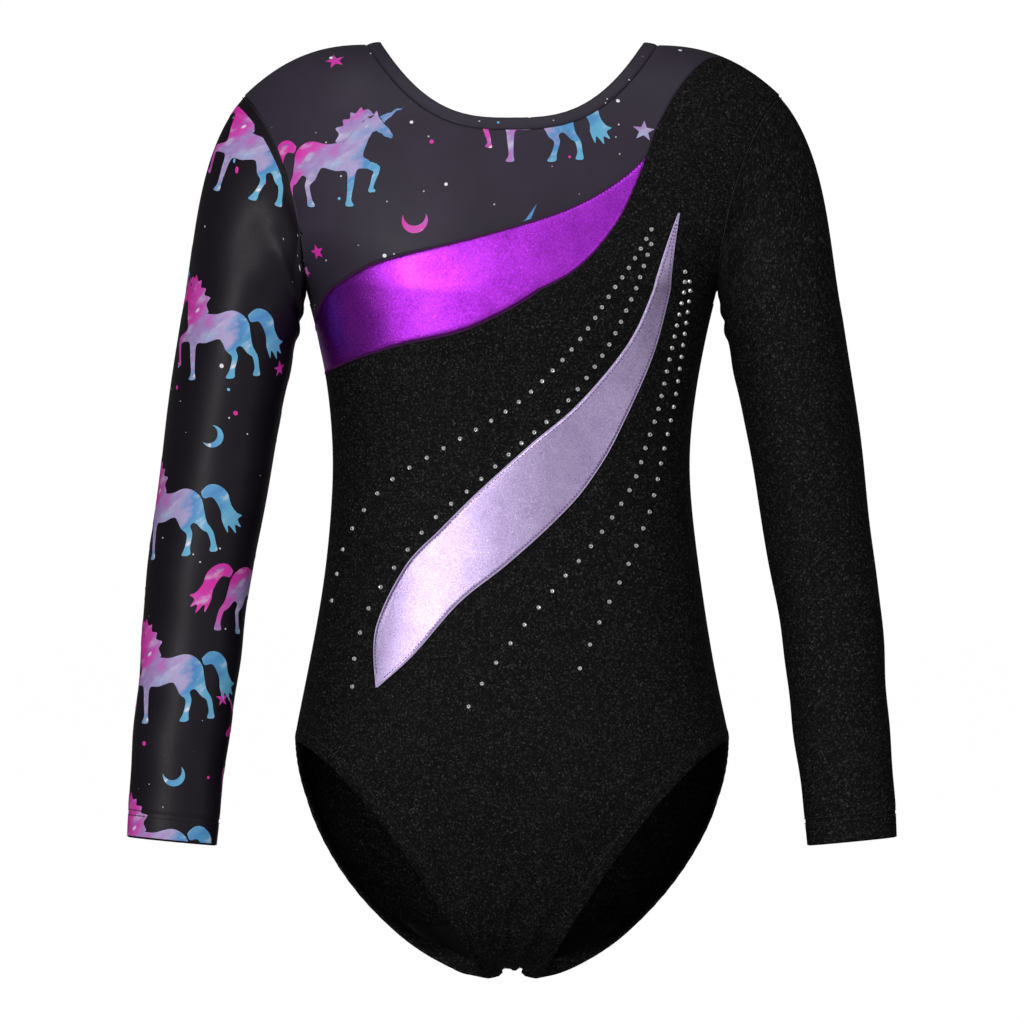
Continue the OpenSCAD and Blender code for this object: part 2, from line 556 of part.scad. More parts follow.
front_body_panel();
front_yoke_panel();
foil_band_panel();
back_body_panel();
right_sleeve();
left_sleeve();
lilac_swoosh();
neck_binding();
neck_elastic();
right_leg_hem();
left_leg_hem();
right_leg_elastic();
left_leg_elastic();
right_cuff_hem();
left_cuff_hem();
crotch_lining();
crystal_row_1();
crystal_row_2();
crystal_row_3();
crystal_row_4();
neck_topstitch();
band_upper_stitch();
band_lower_stitch();
swoosh_stitch();
right_armhole_seam();
left_armhole_seam();
right_side_seam();
left_side_seam();
right_shoulder_seam();
left_shoulder_seam();
right_leg_topstitch();
left_leg_topstitch();
right_cuff_topstitch();
left_cuff_topstitch();
crotch_seam();
care_label();
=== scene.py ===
import json
import math

import bmesh
import bpy
import numpy as np
from mathutils import Matrix, Vector


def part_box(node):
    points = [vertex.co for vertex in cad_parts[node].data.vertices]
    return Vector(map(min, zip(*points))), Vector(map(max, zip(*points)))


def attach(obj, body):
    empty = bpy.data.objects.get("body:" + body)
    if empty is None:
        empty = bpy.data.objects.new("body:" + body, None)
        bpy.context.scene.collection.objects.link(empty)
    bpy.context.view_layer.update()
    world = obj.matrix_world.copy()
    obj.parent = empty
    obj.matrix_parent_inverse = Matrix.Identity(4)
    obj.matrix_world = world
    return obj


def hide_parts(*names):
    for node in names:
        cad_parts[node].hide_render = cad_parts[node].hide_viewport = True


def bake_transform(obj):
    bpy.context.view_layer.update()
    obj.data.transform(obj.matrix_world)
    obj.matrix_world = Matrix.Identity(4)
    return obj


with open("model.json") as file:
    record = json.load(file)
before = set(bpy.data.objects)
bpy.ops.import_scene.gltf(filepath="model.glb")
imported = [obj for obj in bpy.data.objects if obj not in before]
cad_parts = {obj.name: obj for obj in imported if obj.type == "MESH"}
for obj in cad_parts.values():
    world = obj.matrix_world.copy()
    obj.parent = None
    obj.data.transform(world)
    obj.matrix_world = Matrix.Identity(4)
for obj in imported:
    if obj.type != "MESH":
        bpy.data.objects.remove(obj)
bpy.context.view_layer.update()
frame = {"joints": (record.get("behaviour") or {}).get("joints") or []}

# Lengths in the pattern are in millimetres, as on a maker's sheet; MM turns them into metres.
MM = 0.001
FRONT, BACK = -1, 1
RIGHT, LEFT = -1, 1


def box_mm(node):
    """A sub-part's lowest and highest corners, in millimetres."""
    low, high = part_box(node)
    return np.array(low) / MM, np.array(high) / MM


# ---------------------------------------------------------------- measures
back_low, back_high = box_mm("back_body_panel")
shoulder = np.array(next(j["pos_m"] for j in frame["joints"] if j["name"] == "left_sleeve_raise")) / MM

SHOULDER_HALF = back_high[0]
SHOULDER_DROP = -shoulder[2]
CROTCH_DROP = -back_low[2]
UNDERARM_DROP = 142.0
HIP_DROP = 403.0
WAIST_DROP = 245.0
CHEST_HALF = 119.0
WAIST_HALF = 103.0
HIP_HALF = 126.0
CROTCH_HALF = 15.0
DEPTHS = {FRONT: (76.0, 66.0, 76.0), BACK: (72.0, 66.0, back_high[1])}   # chest, waist, hip
BINDING_W = 7.0
NECK_DROP = {FRONT: 42.0 + BINDING_W, BACK: 72.0 + BINDING_W}
SEAM_NECK_HALF = 76.0 + BINDING_W
NECK_T = 2 / math.pi * math.asin(SEAM_NECK_HALF / SHOULDER_HALF)
NECK_RISE = 15.0
ROUND_N = 2.4
CLOTH_T = 0.8
LEG_L = CROTCH_DROP - HIP_DROP
CUFF_DROP = 461.0
UPPER_ARM = dict(drop=UNDERARM_DROP + 23, x=158.5, w=67.0, d=74.0)
CUFF = dict(drop=CUFF_DROP, x=197.0, w=52.0, d=35.0, forward=12.0)
CUFF_HEM_W = 14.0
LEG_HEM_W = 9.0


# ---------------------------------------------------------------- trunk surface
# across runs from -1 at the right side seam to 1 at the left; up from 0 at the crotch
# through 1 at the hip and 2 at the underarm to 3 at the shoulder line.
def girth(z, chest, waist, hip):
    above = np.clip((z + WAIST_DROP) / (WAIST_DROP - UNDERARM_DROP), 0, None)
    below = np.clip((-WAIST_DROP - z) / (HIP_DROP - WAIST_DROP), 0, None)
    return waist + (chest - waist) * above ** 1.85 + (hip - waist) * below ** 1.55


def back_edge(s):
    return CROTCH_HALF + (HIP_HALF - CROTCH_HALF) * (1 - s ** 1.8).clip(0) ** 0.65


def front_edge(s):
    return CROTCH_HALF + (HIP_HALF - CROTCH_HALF) * (1 - s ** 0.74)


def body_half(s):
    return back_edge(s) / (1 - 0.03 * np.minimum(1, 4 * s) - 0.07 * s ** 8)


def leg_depth(s, side):
    hip = DEPTHS[side][2]
    if side == FRONT:
        return hip * (1 - s ** 2.6).clip(0) ** (1 / 1.7)
    return hip * (1 - s ** 3.2).clip(0) ** 0.5


def smoothed(values, reach):
    """A profile rounded over reach samples, with its ends held."""
    half = 3 * reach
    kernel = np.exp(-0.5 * (np.arange(-half, half + 1) / reach) ** 2)
    padded = np.concatenate([2 * values[0] - values[half:0:-1], values,
                             2 * values[-1] - values[-2:-half - 2:-1]])
    return np.convolve(padded, kernel / kernel.sum(), "valid")


PROFILE_Z = np.linspace(-CROTCH_DROP, -UNDERARM_DROP, 400)


def profile(side):
    """Half width and depth of the trunk at each height, rounded over the hip."""
    s = ((-HIP_DROP - PROFILE_Z) / LEG_L).clip(0, 1)
    below = PROFILE_Z < -HIP_DROP
    half = np.where(below, body_half(s), girth(PROFILE_Z, CHEST_HALF, WAIST_HALF, HIP_HALF))
    deep = np.where(below, leg_depth(s, side), girth(PROFILE_Z, *DEPTHS[side]))
    low = ((PROFILE_Z + CROTCH_DROP - 25) / 50).clip(0, 1)
    return (half + (smoothed(half, 8) - half) * low,
            deep + (smoothed(deep, 20) - deep) * low)


PROFILES = {side: profile(side) for side in (FRONT, BACK)}


def lateral(r):
    return (1 - np.abs(r).clip(0, 1) ** ROUND_N).clip(0) ** (1 / ROUND_N)


def top_edge(x, side):
    x = np.abs(x)
    scoop = -NECK_DROP[side] * (1 - (x / SEAM_NECK_HALF).clip(0, 1) ** (2.8 if side == FRONT else 2.2))
    run = ((x - SEAM_NECK_HALF) / (SHOULDER_HALF - SEAM_NECK_HALF)).clip(0)
    return np.where(x < SEAM_NECK_HALF, scoop, -SHOULDER_DROP * run ** 2.4)


def ridge(x, side):
    rise = NECK_RISE * (1 - (x / SEAM_NECK_HALF) ** 2) ** 2
    return np.where(np.abs(x) < SEAM_NECK_HALF, rise, top_edge(x, side))


def lean(r):
    return (1 - r.clip(0, 1) ** 1.6).clip(0) ** (1 / 1.6)


def trunk_base(t, v, side):
    """Places on the trunk before folds, for arrays of across and up."""
    t, v = np.broadcast_arrays(np.asarray(t, float), np.asarray(v, float))
    swing = np.sin(t * math.pi / 2)
    # below the hip
    s = (1 + np.cos(math.pi * v.clip(0, 1))) / 2
    edge = (front_edge(s) if side == FRONT else back_edge(s)) / body_half(s)
    z_low = -HIP_DROP - s * LEG_L
    half, deep = (np.interp(z_low, PROFILE_Z, p) for p in PROFILES[side])
    low = np.stack([edge * half * swing, side * deep * lateral(edge * swing),
                    z_low + 6 * s ** 10 * (1 - t * t)], -1)
    # hip to underarm
    z_mid = -HIP_DROP + (v.clip(1, 2) - 1) * (HIP_DROP - UNDERARM_DROP)
    half, deep = (np.interp(z_mid, PROFILE_Z, p) for p in PROFILES[side])
    mid = np.stack([half * swing, side * deep * lateral(swing), z_mid], -1)
    # underarm to shoulder line
    h = np.sin((v.clip(2, 3) - 2) * math.pi / 2)
    reach = 1 - 0.14 * np.minimum(1, 4 * h) ** 0.8
    x = (CHEST_HALF + (SHOULDER_HALF - CHEST_HALF) * h ** 1.7) * swing
    rise = top_edge(x, side) + UNDERARM_DROP
    full = ridge(x, side) + UNDERARM_DROP
    top = np.stack([x, side * DEPTHS[side][0] * lean(h * rise / full) * lateral(reach * swing),
                    -UNDERARM_DROP + h * rise], -1)
    return np.where((v <= 1)[..., None], low, np.where((v <= 2)[..., None], mid, top))


def trunk_out(t, v, side):
    """Outward directions on the trunk."""
    e = 0.012
    t0, v0 = np.clip(t, -0.985, 0.985), np.clip(v, 0.03, 2.985)
    across = trunk_base(t0 + e, v0, side) - trunk_base(t0 - e, v0, side)
    up = trunk_base(t0, v0 + e, side) - trunk_base(t0, v0 - e, side)
    out = -side * np.cross(across, up)
    return out / np.linalg.norm(out, axis=-1, keepdims=True)


def bump(x, centre, width):
    return np.exp(-((x - centre) / width) ** 2)


def trunk_folds(t, v, side):
    """How far the cloth stands off its smooth shape."""
    p = trunk_base(t, v, side)
    x, z = p[..., 0], p[..., 2]
    s = ((-HIP_DROP - z) / LEG_L).clip(0, 1)
    ray = np.arctan2(x + 8, z + CROTCH_DROP + 14)
    gathers = (0.9 * np.clip((s - 0.35) / 0.5, 0, 1) ** 1.5 * np.clip((1 - s) / 0.05, 0, 1)
               * (np.sin(17 * ray + 0.7) + 0.5 * np.sin(31 * ray)))
    arm = np.clip(v - 2, 0, 1)
    near_arm = np.clip((np.abs(t) - 0.72) / 0.28, 0, 1) ** 2
    drag = 1.1 * near_arm * bump(v, 2.05, 0.35) * np.sin(26 * (v - 2) + 5 * np.abs(t))
    soft = 0.5 * np.sin(0.031 * x + 0.023 * z + 1.3) * np.sin(0.017 * x - 0.027 * z)
    inside = np.clip((1 - np.abs(t)) / 0.06, 0, 1)
    folds = (gathers * inside + drag * inside + soft) * (1 - 0.6 * arm)
    if side == BACK:
        return folds
    low, high = body_edge(t), yoke_edge(t)
    tall = np.where(v > 2, 120.0, HIP_DROP - UNDERARM_DROP)
    valley = bump(tall * (v - low), 0, 1.6) + bump(tall * (v - high), 0, 1.6) * (low < high)
    proud = 0.3 * ((v > low) & (v < high))
    return folds - 0.45 * valley + proud


def trunk(t, v, side, out=0.0):
    """Places on the folded trunk, out millimetres off the cloth."""
    t, v = np.broadcast_arrays(np.asarray(t, float), np.asarray(v, float))
    n = trunk_out(t, v, side)
    return trunk_base(t, v, side) + n * (trunk_folds(t, v, side) + out)[..., None]


# ---------------------------------------------------------------- sleeve surface
# round runs from 0 at the outer line over the front to 0.5 at the underarm and on to 1;
# down runs from 0 at the armhole through CAP at the upper arm to 1 at the cuff.
CAP = 0.22
ARM_L = (CUFF_DROP - UPPER_ARM["drop"]) / (1 - CAP)      # one unit of down along the arm


def mix(a, b, s):
    return a + (b - a) * s


def armhole(around, sign):
    """The armhole seam, which the sleeve and the trunk share."""
    around = np.asarray(around, float) % 1
    up = np.where(around <= 0.5, 3 - 2 * around, 1 + 2 * around)
    front = trunk_base(np.ones_like(up), up, FRONT)
    behind = trunk_base(np.ones_like(up), up, BACK)
    p = np.where((around <= 0.5)[..., None], front, behind)
    return p * np.array([sign, 1, 1])


def arm_ring(around, s, sign):
    a = 2 * math.pi * np.asarray(around, float)
    x = mix(UPPER_ARM["x"], CUFF["x"], s) + 16 * s * (1 - s)
    w = mix(UPPER_ARM["w"], CUFF["w"], s) / 2
    d = mix(UPPER_ARM["d"], CUFF["d"], s ** 0.9) / 2
    return np.stack([sign * (x + w * np.cos(a)), -CUFF["forward"] * s * s - d * np.sin(a),
                     mix(-UPPER_ARM["drop"], -CUFF["drop"], s) + mix(7, 2.5, s) * np.cos(a)], -1)


def sleeve_base(around, down, sign):
    around, down = np.broadcast_arrays(np.asarray(around, float), np.asarray(down, float))
    u = (down / CAP).clip(0, 1)[..., None]
    s = ((down - CAP) / (1 - CAP)).clip(0, 1)
    p, q = armhole(around, sign), arm_ring(around, s * 0, sign)
    length = np.linalg.norm(q - p, axis=-1, keepdims=True)
    c = (1 + np.cos(2 * math.pi * around)) / 2
    leave = np.stack([sign * (0.15 + 0.7 * c), 0 * c, 0 * c - 1], -1)
    leave = length * leave / np.linalg.norm(leave, axis=-1, keepdims=True)
    arrive = length * np.array([sign * 0.196, 0, -0.981])
    cap = (p * (1 + 2 * u) * (1 - u) ** 2 + leave * u * (1 - u) ** 2
           + q * u * u * (3 - 2 * u) + arrive * u * u * (u - 1))
    return np.where((down <= CAP)[..., None], cap, arm_ring(around, s, sign))


def sleeve_out(around, down, sign):
    e = 0.006
    d0 = np.clip(down, e, 1 - e)
    across = sleeve_base(np.asarray(around) + e, d0, sign) - sleeve_base(np.asarray(around) - e, d0, sign)
    along = sleeve_base(around, d0 + e, sign) - sleeve_base(around, d0 - e, sign)
    out = sign * np.cross(across, along)
    return out / np.linalg.norm(out, axis=-1, keepdims=True)


def sleeve_folds(around, down, sign):
    """Drag lines at the underarm, a few slack creases along the arm, and the cuff."""
    inner = bump(around, 0.5, 0.17)
    front = bump(around, 0.34, 0.09)
    lines = inner * bump(down, 0.16, 0.11) * np.sin(70 * down + 5 * np.cos(2 * math.pi * around))
    pulled = 0.62 * (0.43 - around)
    arc = front * (1.5 * bump(down, pulled, 0.022) - 1.1 * bump(down, pulled + 0.055, 0.03))
    turn = 2 * math.pi * around
    slack = 0.7 * bump(down, 0.62, 0.3) * np.sin(21 * down + turn + (1.5 if sign < 0 else 0))
    fine = 0.35 * np.sin(47 * down - 2 * turn) * bump(down, 0.8, 0.18)
    hem = -0.4 * bump(ARM_L * (1 - down), CUFF_HEM_W, 1.8)
    seam = -0.3 * np.exp(-(np.asarray(down) / 0.012) ** 2)
    ends = np.clip((1 - down) / 0.05, 0, 1)
    return (0.8 * lines - arc + (slack + fine) * ends) * np.clip(down / 0.03, 0, 1) + seam + hem


def sleeve(around, down, sign, out=0.0):
    around, down = np.broadcast_arrays(np.asarray(around, float) % 1, np.asarray(down, float))
    n = sleeve_out(around, down, sign)
    return sleeve_base(around, down, sign) + n * (sleeve_folds(around, down, sign) + out)[..., None]


# ---------------------------------------------------------------- pattern lines on the front
TIP = np.array([0.4, 2.39])          # where band, yoke and body meet
YOKE_END = np.array([0.575, 3.0])    # where the yoke's edge meets the shoulder seam
BAND_UPPER = [(-1, 1.91), (-0.75, 1.98), (-0.4, 2.09), (0, 2.25), (0.245, 2.35), (0.4, 2.39)]
BAND_LOWER = [(-1, 1.81), (-0.75, 1.83), (-0.4, 1.875), (-0.11, 1.92), (0.165, 2.045),
              (0.327, 2.226), (0.4, 2.39)]
SWOOSH_LEFT = [(0.565, 2.2), (0.5, 2.045), (0.423, 1.893), (0.247, 1.753), (0.064, 1.655),
               (-0.118, 1.553), (-0.256, 1.469), (-0.39, 1.384), (-0.487, 1.25), (-0.455, 1.12)]
SWOOSH_RIGHT = [(0.57, 2.2), (0.56, 2.045), (0.53, 1.86), (0.4, 1.68), (0.277, 1.569),
                (0.157, 1.491), (-0.02, 1.39), (-0.179, 1.306), (-0.33, 1.19), (-0.45, 1.12)]
CRYSTAL_ROWS = [
    [(0.457, 2.16), (0.328, 2), (0.211, 1.874), (0.018, 1.747), (-0.24, 1.651),
     (-0.458, 1.582), (-0.61, 1.51), (-0.74, 1.42), (-0.78, 1.31)],
    [(0.462, 2.12), (0.4, 1.98), (0.323, 1.862), (0.185, 1.744), (0.017, 1.65),
     (-0.16, 1.553), (-0.268, 1.5), (-0.4, 1.41), (-0.53, 1.3), (-0.57, 1.2), (-0.56, 1.12)],
    [(0.632, 2.045), (0.63, 1.9), (0.6, 1.747), (0.544, 1.659), (0.483, 1.579),
     (0.382, 1.502), (0.25, 1.41), (0.153, 1.345), (0.04, 1.257), (-0.071, 1.153),
     (-0.132, 1.077)],
    [(0.66, 2.02), (0.69, 1.912), (0.7, 1.762), (0.65, 1.648), (0.569, 1.529),
     (0.504, 1.464), (0.411, 1.375), (0.307, 1.276), (0.216, 1.161)]]
CRYSTAL_COUNTS = [32, 33, 32, 27]
CRYSTAL_R = 1.35


def seam_up(points, t):
    """Height of a seam at places across the panel, a smooth curve through its points."""
    pts = np.array(points, float)
    x, y = pts[:, 0], pts[:, 1]
    m = np.empty(len(x))
    m[1:-1] = (y[2:] - y[:-2]) / (x[2:] - x[:-2])
    m[0], m[-1] = (y[1] - y[0]) / (x[1] - x[0]), (y[-1] - y[-2]) / (x[-1] - x[-2])
    i = np.clip(np.searchsorted(x, t, "right") - 1, 0, len(x) - 2)
    w = x[i + 1] - x[i]
    u = np.clip((t - x[i]) / w, 0, 1)
    return (y[i] * (1 + 2 * u) * (1 - u) ** 2 + m[i] * w * u * (1 - u) ** 2
            + y[i + 1] * u * u * (3 - 2 * u) + m[i + 1] * w * u * u * (u - 1))


def yoke_edge(t):
    t = np.asarray(t, float)
    rise = TIP[1] + (3 - TIP[1]) * ((t - TIP[0]) / (YOKE_END[0] - TIP[0])).clip(0, 1)
    return np.where(t >= TIP[0], rise, seam_up(BAND_UPPER, t))


def body_edge(t):
    return np.where(np.asarray(t) >= TIP[0], yoke_edge(t), seam_up(BAND_LOWER, t))


def through(points, q):
    """A smooth curve through points, for q from 0 to 1."""
    pts = np.array(points, float)
    n = len(pts) - 1
    q = np.asarray(q, float)
    i = np.clip(np.floor(q * n).astype(int), 0, n - 1)
    u = (q * n - i)[..., None]
    a, b, c, e = (pts[np.clip(i + k, 0, n)] for k in (-1, 0, 1, 2))
    return 0.5 * (2 * b + (c - a) * u + (2 * a - 5 * b + 4 * c - e) * u * u
                  + (3 * b - a - 3 * c + e) * u ** 3)


# ---------------------------------------------------------------- making pieces
def link(name, mesh, material):
    piece = bpy.data.objects.new(name, mesh)
    bpy.context.collection.objects.link(piece)
    piece.data.materials.append(material)
    return piece


def woven(name, columns, rows, place, material, closed=(False, False), turned=False, pattern=None):
    """A cloth surface: a grid whose crossings place(a, b) puts in place, a and b from 0 to 1.
    pattern(a, b) gives the flat cloth's own millimetres, which its weave follows."""
    bm = bmesh.new()
    uv = bm.loops.layers.uv.new("UVMap")
    bmesh.ops.create_grid(bm, x_segments=columns, y_segments=rows, size=0.5, calc_uvs=True)
    ab = np.array([v.co[:2] for v in bm.verts]) + 0.5
    flat = (pattern(ab[:, 0], ab[:, 1]) if pattern else 100 * ab) * MM
    for face in bm.faces:
        face.smooth = True
        for loop in face.loops:
            loop[uv].uv = flat[loop.vert.index]
    for vert, spot in zip(bm.verts, place(ab[:, 0], ab[:, 1]) * MM):
        vert.co = spot
    if any(closed):
        bmesh.ops.remove_doubles(bm, verts=bm.verts, dist=1e-6)
    if all(closed):
        bmesh.ops.recalc_face_normals(bm, faces=bm.faces)
    if turned:
        bmesh.ops.reverse_faces(bm, faces=bm.faces)
    mesh = bpy.data.meshes.new(name)
    bm.to_mesh(mesh)
    bm.free()
    return link(name, mesh, material)


def thicken(piece, thickness=CLOTH_T, offset=-1, even=True):
    """Gives a cloth its thickness, inwards, and makes the result its own mesh."""
    wall = piece.modifiers.new("Cloth", "SOLIDIFY")
    wall.thickness, wall.offset, wall.use_even_offset = thickness * MM, offset, even
    settle(piece)
    return piece


def settle(piece):
    """Applies a piece's modifiers."""
    solid = bpy.data.meshes.new_from_object(
        piece.evaluated_get(bpy.context.evaluated_depsgraph_get()))
    piece.modifiers.clear()
    piece.data = solid
    return piece


def threads(name, paths, radius, material, closed=False):
    """Sewn threads, each a round line through its points, as one piece."""
    curve = bpy.data.curves.new(name, "CURVE")
    curve.dimensions = "3D"
    curve.bevel_depth, curve.bevel_resolution = radius * MM, 1
    curve.use_fill_caps = not closed
    for path in paths:
        line = curve.splines.new("POLY")
        line.points.add(len(path) - 1)
        line.points.foreach_set("co", np.c_[np.array(path) * MM, np.ones(len(path))].ravel())
        line.use_cyclic_u = closed
    piece = bpy.data.objects.new(name, curve)
    bpy.context.collection.objects.link(piece)
    mesh = bpy.data.meshes.new_from_object(
        piece.evaluated_get(bpy.context.evaluated_depsgraph_get()))
    bpy.data.objects.remove(piece)
    for face in mesh.polygons:
        face.use_smooth = True
    return link(name, mesh, material)


def stitches(path, length, space, closed=False):
    """Short threads of a running stitch along a path of places."""
    path = np.array(path)
    if closed:
        path = np.vstack([path, path[:1]])
    run = np.r_[0, np.cumsum(np.linalg.norm(np.diff(path, axis=0), axis=1))]
    count = int(run[-1] // (length + space))
    starts = np.arange(count) * run[-1] / count

    def at(distance):
        return np.stack([np.interp(distance, run, path[:, k]) for k in range(3)], -1)
    return [at(start + np.array([0, 0.5, 1]) * length) for start in starts]


def unit(vectors):
    return vectors / np.linalg.norm(vectors, axis=-1, keepdims=True)


def finishing(piece, body, slot, *nodes):
    """Says what a piece rides on and hides the sub-parts it stands for; its material slot is not used."""
    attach(piece, body)
    if nodes:
        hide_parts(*nodes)
    return piece


def blend_sleeve(piece, sign, slot, *nodes):
    """Bakes a sleeve piece's placing into its mesh and hides the sub-parts it stands for."""
    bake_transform(piece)
    if nodes:
        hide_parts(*nodes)
    return piece


# ---------------------------------------------------------------- materials
def new_material(name):
    material = bpy.data.materials.new(name)
    material.use_nodes = True
    return material, material.node_tree, material.node_tree.nodes["Principled BSDF"]


def node(tree, kind, **settings):
    made = tree.nodes.new(kind)
    for key, value in settings.items():
        setattr(made, key, value)
    return made


def wire(tree, source, target):
    tree.links.new(source, target)


def cloth_coords(tree, follow="Object"):
    """Millimetres on the object, or on the flat cloth where follow is UV."""
    coords = node(tree, "ShaderNodeTexCoord")
    place = node(tree, "ShaderNodeMapping")
    place.inputs["Scale"].default_value = (1 / MM,) * 3
    wire(tree, coords.outputs[follow], place.inputs["Vector"])
    return place.outputs["Vector"]


def noise(tree, vector, scale, detail=2.0, rough=0.5):
    made = node(tree, "ShaderNodeTexNoise")
    made.inputs["Scale"].default_value = scale
    made.inputs["Detail"].default_value = detail
    made.inputs["Roughness"].default_value = rough
    wire(tree, vector, made.inputs["Vector"])
    return made.outputs["Fac"]


def cells(tree, vector, scale):
    made = node(tree, "ShaderNodeTexVoronoi")
    made.inputs["Scale"].default_value = scale
    wire(tree, vector, made.inputs["Vector"])
    return made


def ramp(tree, factor, stops):
    made = node(tree, "ShaderNodeValToRGB")
    while len(made.color_ramp.elements) < len(stops):
        made.color_ramp.elements.new(0.5)
    for element, (at, colour) in zip(made.color_ramp.elements, stops):
        element.position = at
        element.color = colour if hasattr(colour, "__len__") else (colour,) * 3 + (1,)
    wire(tree, factor, made.inputs["Fac"])
    return made.outputs["Color"]


def math_node(tree, operation, a, b):
    made = node(tree, "ShaderNodeMath", operation=operation)
    for socket, value in zip(made.inputs, (a, b)):
        if isinstance(value, (int, float)):
            socket.default_value = value
        else:
            wire(tree, value, socket)
    return made.outputs["Value"]


def mixed(tree, factor, a, b):
    made = node(tree, "ShaderNodeMix", data_type="RGBA")
    for key, value in (("Factor_Float", factor), ("A_Color", a), ("B_Color", b)):
        socket = next(s for s in made.inputs if s.identifier == key)
        if hasattr(value, "is_output"):
            wire(tree, value, socket)
        else:
            socket.default_value = value
    return next(s for s in made.outputs if s.identifier == "Result_Color")


def bumped(tree, shader, height, strength, distance=0.0002):
    made = node(tree, "ShaderNodeBump")
    made.inputs["Strength"].default_value = strength
    made.inputs["Distance"].default_value = distance
    wire(tree, height, made.inputs["Height"])
    wire(tree, made.outputs["Normal"], shader.inputs["Normal"])


def knit(tree, vector):
    """The fine rib of a stretch knit."""
    wave = node(tree, "ShaderNodeTexWave", bands_direction="DIAGONAL")
    wave.inputs["Scale"].default_value = 0.8
    wave.inputs["Distortion"].default_value = 1.5
    wire(tree, vector, wave.inputs["Vector"])
    return wave.outputs["Fac"]


def black_cloth(name, follow="Object"):
    """Matte black stretch cloth with a fine glitter, its specks painted lighter: partly the glitter's own
    colour, partly painted glints.
    """
    material, tree, shader = new_material(name)
    at = cloth_coords(tree, follow)
    grain = ramp(tree, cells(tree, at, 1.25).outputs["Color"],
                 [(0.0, 0.0), (0.6, 0.05), (0.85, 0.35), (1.0, 1.0)])
    tone = noise(tree, at, 0.035, 3)
    base = ramp(tree, tone, [(0.3, (0.0020, 0.0020, 0.0022, 1)), (0.7, (0.0032, 0.0032, 0.0035, 1))])
    # glitter specks mixed towards grey: painted glints over the glitter's own lighter colour
    wire(tree, mixed(tree, grain, base, (0.062, 0.062, 0.065, 1)), shader.inputs["Base Color"])
    wire(tree, ramp(tree, grain, [(0.0, 0.72), (1.0, 0.4)]), shader.inputs["Roughness"])
    shader.inputs["Specular IOR Level"].default_value = 0.07
    bumped(tree, shader, knit(tree, at), 0.25)
    return material


STAR_FIELDS = [  # cell size in mm, dot radius in mm, share of cells, colour
    (8.0, 0.5, 0.45, (0.7, 0.7, 0.8, 1)),
    (17.0, 1.2, 0.55, (0.9, 0.9, 0.95, 1)),
    (19.0, 0.95, 0.5, (0.2, 0.5, 0.85, 1)),
    (21.0, 1.35, 0.5, (0.75, 0.05, 0.42, 1)),
]


def print_cloth(name, dark, light, gloss, follow="Object"):
    """Smooth semi-gloss cloth printed with a dark night sky and small stars."""
    material, tree, shader = new_material(name)
    at = cloth_coords(tree, follow)
    tone = noise(tree, at, 0.02, 4)
    colour = ramp(tree, tone, [(0.25, dark), (0.75, light)])
    for size, radius, share, star in STAR_FIELDS:
        field = cells(tree, at, 1 / size)
        near = math_node(tree, "LESS_THAN", field.outputs["Distance"], radius / size)
        pick = node(tree, "ShaderNodeSeparateColor")
        wire(tree, field.outputs["Color"], pick.inputs["Color"])
        some = math_node(tree, "GREATER_THAN", pick.outputs["Red"], share)
        colour = mixed(tree, math_node(tree, "MULTIPLY", near, some), colour, star)
    wire(tree, colour, shader.inputs["Base Color"])
    wire(tree, ramp(tree, noise(tree, at, 0.6, 2), [(0.3, 0.36), (0.7, 0.44)]), shader.inputs["Roughness"])
    shader.inputs["Specular IOR Level"].default_value = gloss
    bumped(tree, shader, knit(tree, at), 0.1)
    return material


def galaxy_print():
    """The motifs: clouds of pink, lilac and blue with white sparkles, run from end to end."""
    material, tree, shader = new_material("Galaxy motif print")
    at = cloth_coords(tree, "UV")
    across = node(tree, "ShaderNodeSeparateXYZ")
    wire(tree, at, across.inputs["Vector"])
    cloud = math_node(tree, "SUBTRACT", noise(tree, at, 0.045, 4, 0.6), 0.5)
    along = math_node(tree, "ADD", math_node(tree, "MULTIPLY", across.outputs["X"], 1 / 76), 0.5)
    run = math_node(tree, "ADD", along, math_node(tree, "MULTIPLY", cloud, 1.3))
    colour = ramp(tree, run, [(0.02, (0.78, 0.03, 0.45, 1)), (0.22, (0.70, 0.10, 0.55, 1)),
                              (0.40, (0.42, 0.28, 0.62, 1)), (0.55, (0.48, 0.40, 0.68, 1)),
                              (0.72, (0.08, 0.30, 0.64, 1)), (0.98, (0.15, 0.48, 0.74, 1))])
    haze = ramp(tree, noise(tree, at, 0.09, 3, 0.6), [(0.54, 0.0), (0.76, 0.6)])
    colour = mixed(tree, haze, colour, (0.85, 0.82, 0.93, 1))
    deep = ramp(tree, noise(tree, at, 0.07, 4, 0.7), [(0.28, 0.6), (0.42, 0.0)])
    colour = mixed(tree, deep, colour, (0.12, 0.16, 0.5, 1))
    field = cells(tree, at, 1 / 11)
    spark = ramp(tree, field.outputs["Distance"], [(0.05, 0.9), (0.16, 0.0)])
    wire(tree, mixed(tree, spark, colour, (0.95, 0.9, 0.97, 1)), shader.inputs["Base Color"])
    wire(tree, ramp(tree, noise(tree, at, 0.6, 2), [(0.3, 0.38), (0.7, 0.46)]), shader.inputs["Roughness"])
    shader.inputs["Specular IOR Level"].default_value = 0.3
    return material


